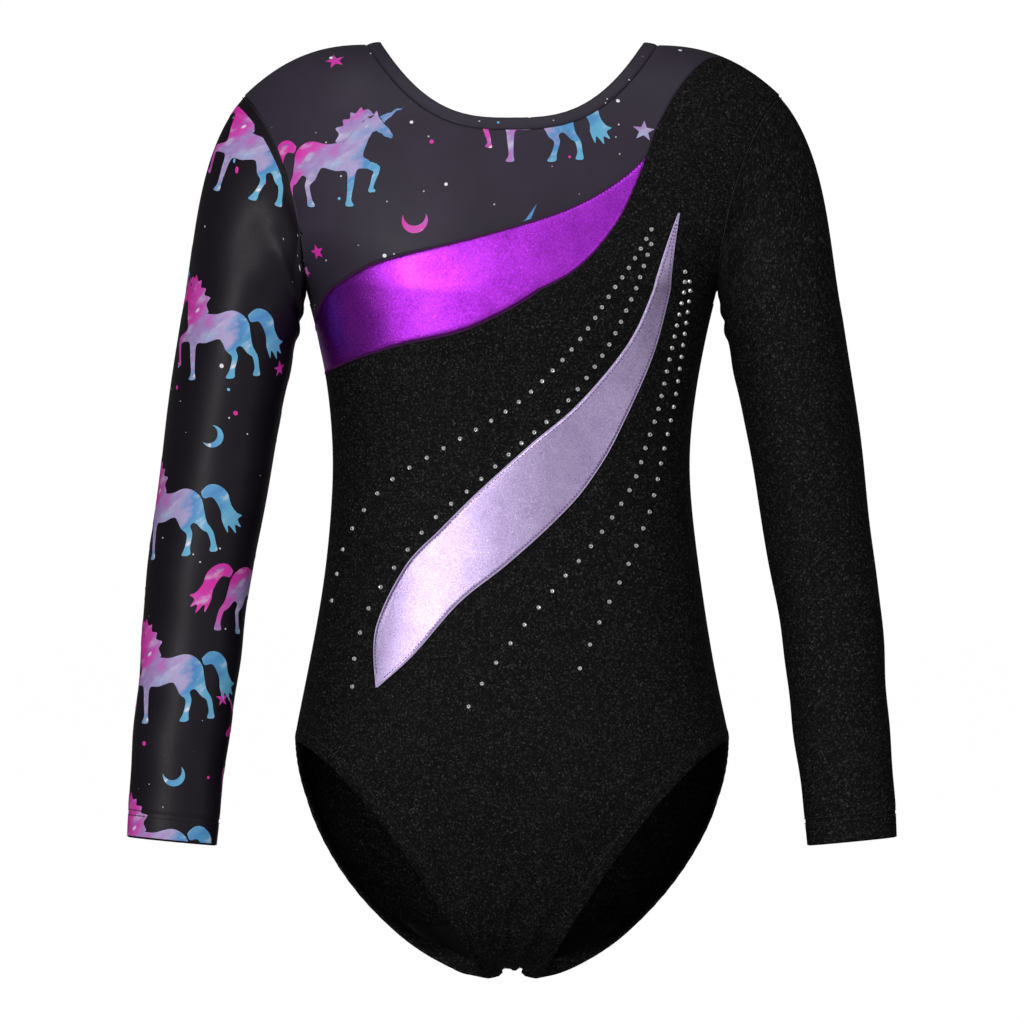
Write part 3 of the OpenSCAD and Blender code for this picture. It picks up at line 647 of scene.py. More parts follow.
def foil_cloth(name, dark, bright, metallic, rough):
    """Foiled stretch cloth with a fine crushed grain."""
    material, tree, shader = new_material(name)
    at = cloth_coords(tree)
    grain = noise(tree, at, 1.5, 3, 0.6)
    fleck = cells(tree, at, 1.4).outputs["Color"]
    patch = noise(tree, at, 0.06, 3, 0.6)
    tint = math_node(tree, "ADD", math_node(tree, "MULTIPLY", fleck, 0.45),
                     math_node(tree, "MULTIPLY", patch, 0.6))
    wire(tree, ramp(tree, tint, [(0.2, dark), (0.8, bright)]), shader.inputs["Base Color"])
    wire(tree, ramp(tree, grain, [(0.3, rough - 0.08), (0.7, rough + 0.1)]), shader.inputs["Roughness"])
    shader.inputs["Metallic"].default_value = metallic
    shader.inputs["Specular IOR Level"].default_value = 0.5
    nap = node(tree, "ShaderNodeTangent", direction_type="RADIAL", axis="Z")
    wire(tree, nap.outputs["Tangent"], shader.inputs["Tangent"])
    shader.inputs["Anisotropic"].default_value = 0.6
    shader.inputs["Anisotropic Rotation"].default_value = 0.25
    shader.inputs["Coat Weight"].default_value = 0.15
    shader.inputs["Coat Roughness"].default_value = 0.22
    bumped(tree, shader, grain, 0.6, 0.0003)
    return material


def plain(name, colour, rough=0.6, metallic=0.0, follow="Object"):
    """A thread or trim colour with a slight unevenness."""
    material, tree, shader = new_material(name)
    tone = noise(tree, cloth_coords(tree, follow), 0.8, 2)
    dark = tuple(0.75 * c for c in colour[:3]) + (1,)
    wire(tree, ramp(tree, tone, [(0.3, dark), (0.7, colour)]), shader.inputs["Base Color"])
    shader.inputs["Roughness"].default_value = rough
    shader.inputs["Metallic"].default_value = metallic
    return material


def lining_knit():
    """Plain matte black lining knit, its colour darker in the rib's grooves: the knit's own tone with painted
    shade in the grooves.
    """
    material, tree, shader = new_material("Black lining knit")
    at = cloth_coords(tree)
    rib = knit(tree, at)
    # colour follows the rib's height, darker in its grooves: painted shade
    wire(tree, ramp(tree, rib, [(0.0, (0.004, 0.004, 0.005, 1)), (1.0, (0.014, 0.014, 0.016, 1))]),
         shader.inputs["Base Color"])
    shader.inputs["Roughness"].default_value = 0.85
    shader.inputs["Specular IOR Level"].default_value = 0.1
    bumped(tree, shader, rib, 0.4)
    return material


BLACK = black_cloth("Black sparkle cloth")
BLACK_SLEEVE = black_cloth("Black sparkle sleeve cloth", "UV")
PRINT = print_cloth("Galaxy print cloth", (0.030, 0.024, 0.038, 1), (0.046, 0.037, 0.058, 1), 0.14)
# the sleeve's copy of the print is painted darker than the yoke's copy of the same cloth: painted shade
SHADED_PRINT_SLEEVE = print_cloth("Galaxy print sleeve cloth, painted shade", (0.008, 0.006, 0.010, 1), (0.014, 0.011, 0.017, 1),
                           0.18, "UV")
GALAXY = galaxy_print()
PURPLE = foil_cloth("Purple foil cloth", (0.28, 0.010, 0.50, 1), (0.66, 0.05, 1.0, 1), 0.92, 0.3)
LILAC = foil_cloth("Lilac foil cloth", (0.38, 0.28, 0.55, 1), (0.66, 0.53, 0.82, 1), 0.9, 0.32)
LINING = lining_knit()
BLACK_THREAD = plain("Black thread", (0.006, 0.006, 0.007, 1), 0.7)
PURPLE_THREAD = plain("Purple thread", (0.10, 0.002, 0.11, 1), 0.6)
VIOLET_THREAD = plain("Violet thread", (0.13, 0.06, 0.28, 1), 0.55)
LILAC_EDGE = plain("Lilac folded edge", (0.72, 0.60, 0.88, 1), 0.4, 0.3)
# crystal crown: silver-white made mostly diffuse so it shines under any light, partly painted sparkle; the
# dark eye is a painted reflection in the clear table
CRYSTAL = plain("Crystal", (0.86, 0.87, 0.90, 1), 0.22, 0.35)
CRYSTAL_EYE_REFLECTION = plain("Crystal eye, painted reflection", (0.05, 0.05, 0.055, 1), 0.15, 0.5)
LABEL = plain("Label satin", (0.82, 0.82, 0.81, 1), 0.4)


# ---------------------------------------------------------------- panels
def front_grid(low_edge, high_edge, first, last):
    """A front panel between two edges, as a place function."""
    def place(a, b):
        t = first + (last - first) * a
        low, high = low_edge(t), high_edge(t)
        return trunk(t, low + (high - low) * b, FRONT)
    return place


def front_body_panel():
    leg = 0.3                            # share of the rows below the hip

    def place(a, b):
        t = 2 * a - 1
        v = np.where(b < leg, b / leg, 1 + (body_edge(t) - 1) * (b - leg) / (1 - leg))
        return trunk(t, v, FRONT)
    piece = woven("front_body", 220, 320, place, BLACK)
    thicken(piece)
    finishing(piece, "trunk", "black_sparkle_cloth", "front_body_panel")


def front_yoke_panel():
    place = front_grid(yoke_edge, lambda t: 3 + 0 * t, -1, YOKE_END[0] - 0.002)
    piece = woven("front_yoke", 200, 100, place, PRINT)
    thicken(piece)
    finishing(piece, "trunk", "galaxy_print_cloth", "front_yoke_panel")


def foil_band_panel():
    place = front_grid(body_edge, yoke_edge, -1, TIP[0] - 0.002)
    piece = woven("foil_band", 180, 30, place, PURPLE)
    thicken(piece)
    finishing(piece, "trunk", "purple_foil_cloth", "foil_band_panel")


def back_body_panel():
    leg = 0.27

    def place(a, b):
        v = np.where(b < leg, b / leg, 1 + 2 * (b - leg) / (1 - leg))
        return trunk(1 - 2 * a, v, BACK)
    piece = woven("back_body", 220, 320, place, BLACK)
    thicken(piece)
    finishing(piece, "trunk", "black_sparkle_cloth", "back_body_panel")


def sleeve_cloth(around, down):
    """Millimetres on a sleeve laid flat, with its seam under the arm."""
    girth_mm = mix(225, 140, down)
    return np.stack([(around % 1 - 0.5) * girth_mm, down * ARM_L], -1)


def sleeve_panel(sign, name, material, slot, *nodes):
    def place(a, b):
        return sleeve(a + 0.5, 1 - b, sign)

    def pattern(a, b):
        return sleeve_cloth(a, 1 - b)
    piece = woven(name, 160, 280, place, material, closed=(True, False), turned=sign > 0, pattern=pattern)
    thicken(piece)
    blend_sleeve(piece, sign, slot, *nodes)


def cuff_hem(sign, name, material, slot, *nodes):
    """The cuff's turned-up ply, with a soft fold at its end."""
    section = [(CUFF_HEM_W, -0.9), (8, -0.9), (1.5, -0.9), (0.3, -0.45), (-0.25, -0.6), (-0.45, -1.1),
               (-0.1, -1.7), (1.5, -1.95), (8, -1.95), (CUFF_HEM_W, -1.7)]

    def place(a, b):
        d, out = through(section + section[:1], b).T
        return sleeve_base(a, 1 - 1e-4, sign) + out[:, None] * sleeve_out(a, 1 - 0 * a, sign) \
            + d[:, None] * unit(sleeve_base(a, 0.97, sign) - sleeve_base(a, 1 - 1e-4, sign))

    def pattern(a, b):
        return sleeve_cloth(a, 1 + 0.1 * b)
    piece = woven(name, 120, 40, place, material, closed=(True, True), pattern=pattern)
    finishing(piece, "sleeve_left" if sign > 0 else "sleeve_right", slot, *nodes)


def swoosh_places(a, b, out):
    p = mix(through(SWOOSH_LEFT, a), through(SWOOSH_RIGHT, a), b[..., None])
    return trunk(p[..., 0], p[..., 1], FRONT, out)


def swoosh():
    def place(a, b):
        lift = 0.75 * np.minimum(1, np.minimum(b, 1 - b) / 0.04) ** 0.5
        return swoosh_places(1 - a, b, 0.15 + lift)
    piece = woven("lilac_swoosh_cloth", 220, 40, place, LILAC, turned=True)
    finishing(piece, "trunk", "lilac_foil_cloth", "lilac_swoosh")


def crotch_lining():
    def place(a, b):
        v = np.abs(2 * b - 1) * 0.3
        t = 0.72 * (2 * a - 1)
        front = trunk(t, v, FRONT, -2.4)
        return np.where((b < 0.5)[:, None], front, trunk(t, v, BACK, -2.4))
    piece = woven("gusset_lining", 24, 60, place, LINING)
    thicken(piece, 0.5, 0, even=False)
    finishing(piece, "trunk", "black_sparkle_cloth", "crotch_lining")


def care_label():
    def place(a, b):
        return trunk(0.115 * (1 - 2 * a), mix(2.27, 2.43, b), BACK, -1.7 - 0.3 * np.sin(3 * a + 2 * b))
    piece = woven("care_label_satin", 20, 18, place, LABEL)
    thicken(piece, 0.3, 0)
    finishing(piece, "trunk", "label_satin", "care_label")


front_body_panel()
front_yoke_panel()
foil_band_panel()
back_body_panel()
sleeve_panel(RIGHT, "print_sleeve", SHADED_PRINT_SLEEVE, "galaxy_print_cloth", "right_sleeve")
sleeve_panel(LEFT, "black_sleeve", BLACK_SLEEVE, "black_sparkle_cloth", "left_sleeve")
cuff_hem(RIGHT, "print_cuff", SHADED_PRINT_SLEEVE, "galaxy_print_cloth", "right_cuff_hem")
cuff_hem(LEFT, "black_cuff", BLACK_SLEEVE, "black_sparkle_cloth", "left_cuff_hem")
swoosh()
crotch_lining()
care_label()


# ---------------------------------------------------------------- bound edges
def edge_frames(points, inward):
    """Directions along, into the cloth and out of it at each place of a closed edge."""
    along = unit(np.roll(points, -1, 0) - np.roll(points, 1, 0))
    into = unit(inward - along * (inward * along).sum(-1, keepdims=True))
    return along, into, unit(np.cross(along, into))


def neck_frames(count=240):
    """The neckline from the right point over the front to the left one and round the back."""
    q = np.arange(count) / count
    front = q < 0.5
    t = NECK_T * np.where(front, 4 * q - 1, 3 - 4 * q)
    edge = np.where(front[:, None], trunk(t, 3 + 0 * t, FRONT), trunk(t, 3 + 0 * t, BACK))
    turn = 2 * math.pi * q
    rise = 0.15 + 0.8 * np.sqrt(np.sin(turn) ** 2 + 0.004)
    inward = unit(np.stack([np.cos(turn), 0.55 * np.sin(turn), rise], -1))
    return edge, *edge_frames(edge, inward)


def leg_frames(sign, count=280):
    """A leg opening down its front edge to the crotch and up its back edge."""
    q = np.arange(count) / count
    front = q < 0.5
    v = np.abs(1 - 2 * q)
    one = sign + 0 * v
    edge = np.where(front[:, None], trunk(one, v, FRONT), trunk(one, v, BACK))
    out = np.where(front[:, None], trunk_out(one, v, FRONT), trunk_out(one, v, BACK))
    under = bump(q, 0.5, 0.03)[:, None]
    out = unit(out * (1 - under) + np.array([0, 0, -1.0]) * under)
    out = unit(sum(np.roll(out, k, 0) for k in range(-5, 6)))
    along = unit(np.roll(edge, -1, 0) - np.roll(edge, 1, 0))
    into = -sign * unit(np.cross(out, along))
    return edge, along, into, sign * unit(np.cross(into, along))


def bound(name, frames, section, ripple, material, slot, *nodes):
    """A rounded hem round an edge; section lists (into the cloth, out of it) in millimetres."""
    edge, along, into, out = frames
    count = len(edge)

    def place(a, b):
        i = np.round(a * count).astype(int) % count
        d, lift = through(section + section[:1], b).T
        pucker = ripple * np.sin(2 * math.pi * np.round(count / 5) * a) * (lift > 0)
        return edge[i] + d[:, None] * into[i] + (lift + pucker)[:, None] * out[i]
    piece = woven(name, count, 40, place, material, closed=(True, True))
    finishing(piece, "trunk", slot, *nodes)


NECK_SECTION = [(-0.9, 0.1), (-0.2, 0.75), (1.5, 1.0), (4.5, 0.95), (6.5, 0.6), (7.1, -0.3),
                (6.5, -1.2), (4.5, -1.6), (1.0, -1.7), (-0.9, -1.3)]
HEM_SECTION = [(LEG_HEM_W, -0.6), (7.4, -0.05), (5, 0.45), (2, 0.45), (0.2, 0.05), (-0.35, -0.7),
               (0.2, -1.6), (2.5, -2.2), (6, -2.3), (LEG_HEM_W, -1.8)]


def offset_line(frames, d, lift):
    edge, along, into, out = frames
    return edge + d * into + lift * out


def neck_trim():
    frames = neck_frames()
    bound("neck_bound_edge", frames, NECK_SECTION, 0.06, PRINT, "galaxy_print_cloth",
          "neck_binding", "neck_elastic")
    seam = threads("neck_seam_thread", [offset_line(frames, -0.9, 0.25)], 0.32, BLACK_THREAD, closed=True)
    finishing(seam, "trunk", "black_thread", "neck_topstitch")


def leg_trim(sign, side):
    frames = leg_frames(sign)
    bound(side + "_leg_bound_edge", frames, HEM_SECTION, 0.12, BLACK, "black_sparkle_cloth",
          side + "_leg_hem", side + "_leg_elastic")
    line = stitches(offset_line(frames, 7.4, 0.08), 2.3, 0.7, closed=True)
    finishing(threads(side + "_leg_stitches", line, 0.2, BLACK_THREAD), "trunk", "black_thread",
              side + "_leg_topstitch")


neck_trim()
leg_trim(RIGHT, "right")
leg_trim(LEFT, "left")


# ---------------------------------------------------------------- seams and stitching
def up_mm(t, v, side=FRONT):
    """Millimetres of cloth for one unit of up."""
    e = 0.01
    return np.linalg.norm(trunk_base(t, v + e, side) - trunk_base(t, v - e, side), axis=-1) / (2 * e)


def overlock(edge, name, slot_node):
    """A close zigzag of thread over a seam of the band."""
    t = np.linspace(-0.985, TIP[0] - 0.01, 300)
    v = edge(t)
    swing = np.where(np.arange(len(t)) % 2, 0.45, -1.25) * (1 if edge is yoke_edge else -1)
    path = trunk(t, v + swing / up_mm(t, v), FRONT, 0.36)
    rail = trunk(t, v, FRONT, 0.3)
    finishing(threads(name, [path, rail], 0.27, PURPLE_THREAD), "trunk", "purple_thread", slot_node)


def swoosh_stitches():
    a = np.linspace(0.03, 0.965, 260)
    width = np.linalg.norm(swoosh_places(a, 0 * a, 0) - swoosh_places(a, 0 * a + 1, 0), axis=-1)
    inset = np.minimum(1.7 / width, 0.3)
    rows = (stitches(swoosh_places(a, inset, 1.0), 1.0, 1.1)
            + stitches(swoosh_places(a, 1 - inset, 1.0), 1.0, 1.1))
    finishing(threads("swoosh_stitches", rows, 0.3, VIOLET_THREAD), "trunk", "purple_thread", "swoosh_stitch")
    q = np.linspace(0, 1, 240)
    rims = [swoosh_places(q, 0 * q + 0.004, 0.45), swoosh_places(q, 0 * q + 0.996, 0.45)]
    finishing(threads("swoosh_folded_edge", rims, 0.35, LILAC_EDGE), "trunk", "lilac_foil_cloth")


def trunk_seam(name, t, v, side, slot_node):
    path = trunk(t, v, side, 0.12)
    finishing(threads(name, [path], 0.28, BLACK_THREAD), "trunk", "black_thread", slot_node)


def armhole_seam(sign, name, slot_node):
    around = np.arange(120) / 120
    path = sleeve(around, 0 * around + 0.003, sign, 0.45)
    finishing(threads(name, [path], 0.3, BLACK_THREAD, closed=True), "trunk", "black_thread", slot_node)


def cuff_stitches(sign, name, slot_node):
    around = np.arange(160) / 160
    rows = []
    for rise in (CUFF_HEM_W - 1.5, CUFF_HEM_W + 1.5):
        rows += stitches(sleeve(around, 1 - rise / ARM_L + 0 * around, sign, 0.28), 2.6, 0.6, closed=True)
    piece = threads(name, rows, 0.24, BLACK_THREAD)
    finishing(piece, "sleeve_left" if sign > 0 else "sleeve_right", "black_thread", slot_node)


overlock(yoke_edge, "band_upper_overlock", "band_upper_stitch")
overlock(body_edge, "band_lower_overlock", "band_lower_stitch")
swoosh_stitches()
for sign, side in ((RIGHT, "right"), (LEFT, "left")):
    rise = np.linspace(1.02, 1.97, 90)
    trunk_seam(side + "_side_thread", sign + 0 * rise, rise, BACK, side + "_side_seam")
    run = sign * np.linspace(NECK_T + 0.01, 0.97, 60)
    trunk_seam(side + "_shoulder_thread", run, 3 + 0 * run, BACK, side + "_shoulder_seam")
    armhole_seam(sign, side + "_armhole_thread", side + "_armhole_seam")
    cuff_stitches(sign, side + "_cuff_stitches", side + "_cuff_topstitch")
over = np.linspace(-0.6, 0.6, 20)
trunk_seam("crotch_thread", over, 0 * over, BACK, "crotch_seam")


# ---------------------------------------------------------------- crystals
def crystals(row):
    """One row of flat-backed cut stones, each a near-white crown round a dark eye: the crown partly the
    stones' silver and partly painted sparkle, the eye a painted dark reflection.
    """
    count = CRYSTAL_COUNTS[row]
    q = np.linspace(0, 1, 49)
    t, v = through(CRYSTAL_ROWS[row], q).T
    run = np.r_[0, np.cumsum(np.linalg.norm(np.diff(trunk_base(t, v, FRONT), axis=0), axis=1))]
    share = np.arange(count) / (count - 1)
    places = np.interp(run[-1] * (0.68 * share + 0.32 * share ** 3), run, q)
    t, v = through(CRYSTAL_ROWS[row], 0.998 * places).T
    spots = trunk(t, v, FRONT, 0.1)
    outs = trunk_out(t, v, FRONT)
    bm = bmesh.new()
    for spot, out in zip(spots, outs):
        turn = Vector(out).to_track_quat("Z", "Y").to_matrix().to_4x4()
        seat = Matrix.Translation(Vector(spot) * MM) @ turn
        made = bmesh.ops.create_cone(bm, cap_ends=True, segments=8, radius1=CRYSTAL_R * MM,
                                     radius2=0.62 * CRYSTAL_R * MM, depth=1.0 * MM,
                                     matrix=seat @ Matrix.Translation((0, 0, 0.5 * MM)))
        faces = {f for vert in made["verts"] for f in vert.link_faces}
        table = max(faces, key=lambda f: (f.calc_center_median() - Vector(spot) * MM).dot(Vector(out)))
        bmesh.ops.inset_region(bm, faces=[table], thickness=0.42 * MM, depth=-0.12 * MM)
        # the table gets the dark eye colour, a painted reflection
        table.material_index = 1
    name = "crystals_%d" % (row + 1)
    mesh = bpy.data.meshes.new(name)
    bm.to_mesh(mesh)
    bm.free()
    piece = link(name, mesh, CRYSTAL)
    piece.data.materials.append(CRYSTAL_EYE_REFLECTION)
    finishing(piece, "trunk", "crystal", "crystal_row_%d" % (row + 1))


for row in range(len(CRYSTAL_ROWS)):
    crystals(row)


# ---------------------------------------------------------------- printed motifs
# Outlines in millimetres, hooves at 0, facing right.
HORSE = [(57, 56), (58.5, 60), (60.5, 55.5), (64, 51.5), (68.5, 46.5), (69, 43.8), (66.5, 42.8), (63, 45),
         (59, 46.5), (56.5, 43.5), (55, 37.5), (53.5, 32), (54, 28.8), (58, 27), (63, 25), (63.8, 22.6),
         (62.5, 17), (61, 11.8), (62.5, 9.2), (58.5, 8.4), (58.8, 12), (59.6, 17.5), (60, 21.2), (54.5, 22),
         (50.5, 20.8), (49.5, 12), (48.8, 4), (50.5, 0), (45.8, 0), (46, 4), (45.8, 12), (44.5, 20.2),
         (38, 20.6), (30, 22.6), (27.5, 20), (25.6, 15.5), (22.4, 11.8), (24.2, 4.4), (26.5, 0), (21.6, 0),
         (21, 4.6), (19, 11.8), (19.8, 16.5), (16.8, 18), (13, 13.6), (10.2, 11.4), (9, 5.2), (10, 1),
         (5.6, 0.8), (6, 5.4), (7, 12.2), (10, 18), (11, 25.4), (12, 32), (16.5, 37), (22.5, 38.6),
         (31.5, 36.8), (40.5, 38.6), (45, 43.4), (45.8, 46.4), (48, 46.8), (49, 50.2), (51.6, 50.6),
         (53, 54), (55, 54.2)]
TAIL = [(12, 35.6), (7.5, 39.2), (1.6, 38.6), (-3.4, 33.6), (-5, 26.6), (-8.2, 21.5), (-11.5, 19.6),
        (-8.6, 17.4), (-10.4, 12.8), (-6.6, 14.4), (-6.8, 9.6), (-2.4, 14.8), (-1.6, 10.4), (1.2, 17.4),
        (1.4, 23), (3.4, 28.6), (6, 32), (10.6, 31.8)]
MANE = [(57.4, 57.2), (54.4, 59.6), (51, 58.6), (49.4, 60.4), (46.6, 56.4), (43.6, 56.8), (43.4, 52.8),
        (39.4, 52), (40, 48.4), (35.6, 46.6), (38, 42.8), (36.4, 38.2), (41.6, 37.8), (47, 45), (53, 53.4)]
HORN = [(60.6, 55.9), (73, 66.5), (63.4, 53)]
# a crescent between two circles, its horns up
MOON = [(7.6 * math.cos(a), 7.6 * math.sin(a))
        for a in np.linspace(math.radians(150), math.radians(390), 22)] \
    + [(6.6 * math.cos(a), 3.4 + 6.6 * math.sin(a))
       for a in np.linspace(math.radians(362), math.radians(178), 18)]


def star(points, outer, inner):
    turn = np.arange(2 * points) * math.pi / points + math.pi / 2
    r = np.where(np.arange(2 * points) % 2, inner, outer)
    return list(zip(r * np.cos(turn), r * np.sin(turn)))


def rounded(outline, steps=4):
    """A closed outline with soft corners."""
    return through([*outline, outline[0]], np.arange(len(outline) * steps) / (len(outline) * steps))


def tangents(place, at, e=0.004):
    """Tangents of a cloth surface at places given in its own coordinates."""
    first = (place(at + [e, 0]) - place(at - [e, 0])) / (2 * e)
    second = (place(at + [0, e]) - place(at - [0, e])) / (2 * e)
    return first, second


def drape(flat, start, place, outward, hold, steps=12):
    """Lays flat places, given in millimetres right of and above the start, along a cloth."""
    at = np.tile(np.array(start, float), (len(flat), 1))
    for _ in range(steps):
        first, second = tangents(place, hold(at))
        out = outward(hold(at))
        right = unit(np.cross([0, 0, 1.0], out))
        step = (flat[:, :1] * right + flat[:, 1:] * np.cross(out, right)) / steps
        aa, ab, bb = (first * first).sum(1), (first * second).sum(1), (second * second).sum(1)
        sa, sb = (step * first).sum(1), (step * second).sum(1)
        det = aa * bb - ab * ab
        at = at + np.stack([(sa * bb - sb * ab) / det, (sb * aa - sa * ab) / det], -1)
    return at


def motif(bm, outline, start, turn, flip, scale, tint, place, outward, hold, lift):
    """Adds one printed shape to a mesh; hold keeps its places on the panel, and tint is
    where in the run of colours the shape's middle lies, in millimetres."""
    uv = bm.loops.layers.uv.verify()
    part = bmesh.new()
    part.faces.new([part.verts.new((x, y, 0)) for x, y in outline]).normal_update()
    if part.faces[:][0].normal.z < 0:
        bmesh.ops.reverse_faces(part, faces=part.faces)
    bmesh.ops.triangulate(part, faces=part.faces)
    low, high = np.min(outline, axis=0), np.max(outline, axis=0)
    for axis in (0, 1):
        for cut in np.arange(low[axis] + 1.25, high[axis], 2.5):
            spot, way = [0, 0, 0], [0, 0, 0]
            spot[axis], way[axis] = cut, 1
            bmesh.ops.bisect_plane(part, geom=part.verts[:] + part.edges[:] + part.faces[:],
                                   plane_co=spot, plane_no=way, dist=1e-5)
    part.verts.index_update()
    flat = np.array([v.co[:2] for v in part.verts])
    laid = (flat * [flip, 1]) * scale @ np.array([[math.cos(turn), math.sin(turn)],
                                                  [-math.sin(turn), math.cos(turn)]])
    at = drape(laid, start, place, outward, hold)
    kept = hold(at)
    beyond = np.abs(kept - at).max(1)
    spots = (place(kept) + lift * outward(kept)) * MM
    made = [bm.verts.new(spot) for spot in spots]
    for face in part.faces:
        ids = [v.index for v in face.verts]
        if beyond[ids].min() > 1e-6 or beyond[ids].max() > 0.2:
            continue
        new = bm.faces.new([made[i] for i in (ids if flip > 0 else ids[::-1])])
        new.smooth = True
        for loop, i in zip(new.loops, ids if flip > 0 else ids[::-1]):
            x, y = flat[i]
            loop[uv].uv = ((tint + flip * x - 0.7 * y) * MM, (y + 90 * (len(made) % 5)) * MM)
    part.free()


def printed(name, motifs, material, place, outward, hold, lift=0.16):
    """One piece of printed shapes laid on a cloth."""
    bm = bmesh.new()
    for outline, start, turn, flip, scale, tint in motifs:
        motif(bm, outline, start, math.radians(turn), flip, scale, tint, place, outward, hold, lift)
    loose = [v for v in bm.verts if not v.link_faces]
    bmesh.ops.delete(bm, geom=loose, context="VERTS")
    bmesh.ops.dissolve_degenerate(bm, edges=bm.edges, dist=1e-6)
    mesh = bpy.data.meshes.new(name)
    bm.to_mesh(mesh)
    bm.free()
    return link(name, mesh, material)


def unicorn(start, turn=0, flip=1, scale=1.0, shift=(-36, -28), tint=0):
    """A unicorn's printed shapes; the start is shift away from its rear hoof."""
    parts = [rounded(HORSE), rounded(TAIL), rounded(MANE), HORN]
    return [(moved(outline, *shift), start, turn, flip, scale, tint) for outline in parts]


def moved(outline, x, y):
    return [(px + x, py + y) for px, py in outline]


def yoke_place(at):
    return trunk(at[:, 0], at[:, 1], FRONT)


def yoke_hold(at):
    t = at[:, 0].clip(-0.975, YOKE_END[0] - 0.02)
    return np.stack([t, at[:, 1].clip(yoke_edge(t) + 0.012, 2.985)], -1)


YOKE_UNICORNS = [unicorn((-0.574, 2.36)), unicorn((0.04, 2.55), flip=-1, shift=(-38, 3), tint=12),
                 [(moved(HORN, -66, -60), (0.045, 2.29), 14, 1, 1.0, 10)]]
YOKE_SHAPES = [(MOON, (-0.295, 2.235), 4, 1, 1.0, -34), (star(5, 4.8, 2.0), (-0.76, 2.1), 12, 1, 1, -34),
               (star(5, 6.8, 2.8), (0.37, 2.49), -8, 1, 1, 4),
               (star(5, 6.0, 2.4), (-0.473, 2.78), 20, 1, 1, -30),
               (star(5, 4.4, 1.8), (-0.93, 2.05), 30, 1, 1, -34)]


def sleeve_print_place(at):
    return sleeve(at[:, 0], at[:, 1], RIGHT)


def sleeve_print_out(at):
    return sleeve_out(at[:, 0], at[:, 1], RIGHT)


def sleeve_hold(at):
    return np.stack([at[:, 0], at[:, 1].clip(0.012, 0.998)], -1)


SLEEVE_UNICORNS = [unicorn((0.2, 0.035), -14, -1), unicorn((0.17, 0.23), 2, -1),
                   unicorn((0.11, 0.505), 6, -1), unicorn((0.5, 0.6), -4, 1),
                   unicorn((0.165, 0.75), 3, -1), unicorn((0.16, 1.02), 2, -1),
                   unicorn((0.62, 0.33), 0, -1), unicorn((0.74, 0.60), 4, -1),
                   unicorn((0.66, 0.88), -3, -1), unicorn((0.82, 0.16), 5, -1)]
SLEEVE_SHAPES = [(MOON, (0.23, 0.385), 60, 1, 0.85, 34), (MOON, (0.24, 0.90), 20, 1, 0.85, 34),
                 (star(5, 5.0, 2.0), (0.40, 0.265), 15, 1, 1, -32),
                 (star(5, 4.8, 1.9), (0.385, 0.775), 5, 1, 1, -32),
                 (star(5, 4.6, 1.9), (0.55, 0.48), 5, 1, 1, -32), (MOON, (0.7, 0.46), -30, 1, 0.85, 34),
                 (star(5, 5, 2), (0.86, 0.74), 25, 1, 1, 0)]


def print_motifs():
    yoke = printed("yoke_print", [m for group in YOKE_UNICORNS for m in group] + YOKE_SHAPES, GALAXY,
                   yoke_place, lambda at: trunk_out(at[:, 0], at[:, 1], FRONT), yoke_hold)
    finishing(yoke, "trunk", "galaxy_print_cloth")
    arm = printed("sleeve_print", [m for group in SLEEVE_UNICORNS for m in group] + SLEEVE_SHAPES, GALAXY,
                  sleeve_print_place, sleeve_print_out, sleeve_hold)
    blend_sleeve(arm, RIGHT, "galaxy_print_cloth")


print_motifs()


# ---------------------------------------------------------------- the picture
FLOOR_Z = -0.62                      # metres, as are the rest here
FLOOR_R, CURVE_R, WALL_TOP = 18, 4, 16
CAMERA_FAR, CAMERA_HIGH = 10, -0.2706
FIELD = 0.594                        # width of the view at the garment


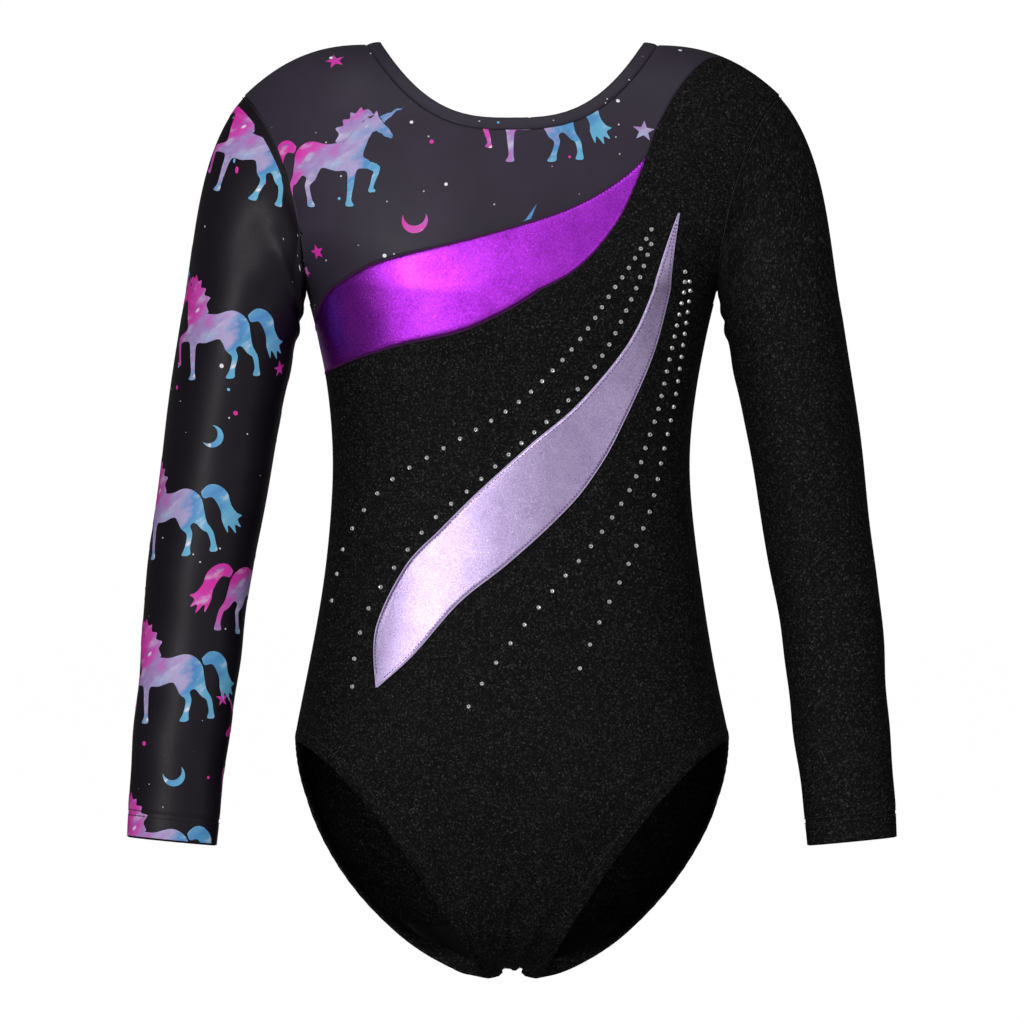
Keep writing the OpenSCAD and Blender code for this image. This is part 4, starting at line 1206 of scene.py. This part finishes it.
def stage_and_camera():
    """A round pale sweep about the garment, soft lights and a long-lens camera."""
    mesh = bpy.data.meshes.new("sweep")
    bm = bmesh.new()
    bmesh.ops.create_circle(bm, cap_ends=True, segments=96, radius=FLOOR_R)
    rim = [edge for edge in bm.edges if edge.is_boundary]
    wide, high = FLOOR_R, 0
    for turn in [*np.linspace(0, math.pi / 2, 9)[1:], None]:
        if turn is None:
            wider, higher = FLOOR_R + CURVE_R, WALL_TOP
        else:
            wider, higher = FLOOR_R + CURVE_R * math.sin(turn), CURVE_R * (1 - math.cos(turn))
        grown = bmesh.ops.extrude_edge_only(bm, edges=rim)["geom"]
        ring = [v for v in grown if isinstance(v, bmesh.types.BMVert)]
        rim = [e for e in grown if isinstance(e, bmesh.types.BMEdge)]
        bmesh.ops.scale(bm, verts=ring, vec=(wider / wide, wider / wide, 1))
        bmesh.ops.translate(bm, verts=ring, vec=(0, 0, higher - high))
        wide, high = wider, higher
    bmesh.ops.translate(bm, verts=bm.verts, vec=(0, 0, FLOOR_Z))
    bmesh.ops.recalc_face_normals(bm, faces=bm.faces)
    for face in bm.faces:
        face.smooth = True
    bm.to_mesh(mesh)
    bm.free()
    material, tree, shader = new_material("Pale sweep")
    shader.inputs["Base Color"].default_value = (0.1, 0.1, 0.1, 1)
    shader.inputs["Roughness"].default_value = 0.9
    shader.inputs["Emission Color"].default_value = (1, 1, 1, 1)
    shader.inputs["Emission Strength"].default_value = 0.97
    sweep = link("sweep", mesh, material)
    # seen behind the garment, but not mirrored in its foil
    sweep.visible_glossy = sweep.visible_diffuse = False

    world = bpy.data.worlds.new("Studio")
    bpy.context.scene.world = world
    world.use_nodes = True
    # soft light from the front and above, dim at the sides
    tree = world.node_tree
    around = node(tree, "ShaderNodeTexCoord")
    turn = node(tree, "ShaderNodeSeparateXYZ")
    wire(tree, around.outputs["Generated"], turn.inputs["Vector"])
    ahead = math_node(tree, "MULTIPLY", turn.outputs["Y"], -1)
    glow = ramp(tree, ahead, [(0.0, 0.10), (0.45, 0.12), (0.8, 0.56), (1.0, 0.66)])
    wire(tree, glow, tree.nodes["Background"].inputs["Color"])
    for name, at, aim, size, power in (
            ("key", (-1.0, -2.1, 0.0), (0, 0, -0.27), (0.18, 2.2), 24),
            ("fill", (1.8, -1.7, 0.1), (0, 0, -0.3), (0.4, 1.5), 4),
            ("top", (0, -0.7, 1.8), (0, 0, -0.2), (1.4, 0.8), 10)):
        data = bpy.data.lights.new(name, "AREA")
        data.shape, data.size, data.size_y, data.energy = "RECTANGLE", *size, power
        lamp = bpy.data.objects.new(name, data)
        bpy.context.collection.objects.link(lamp)
        lamp.location = at
        lamp.rotation_euler = (Vector(aim) - Vector(at)).to_track_quat("-Z", "Y").to_euler()

    data = bpy.data.cameras.new("camera")
    camera = bpy.data.objects.new("camera", data)
    bpy.context.collection.objects.link(camera)
    camera.location = (0, -CAMERA_FAR, CAMERA_HIGH)
    camera.rotation_euler = (math.pi / 2, 0, 0)
    data.sensor_width = 36
    data.lens = data.sensor_width * CAMERA_FAR / FIELD
    bpy.context.scene.camera = camera
    bpy.context.scene.view_settings.view_transform = "Standard"


stage_and_camera()
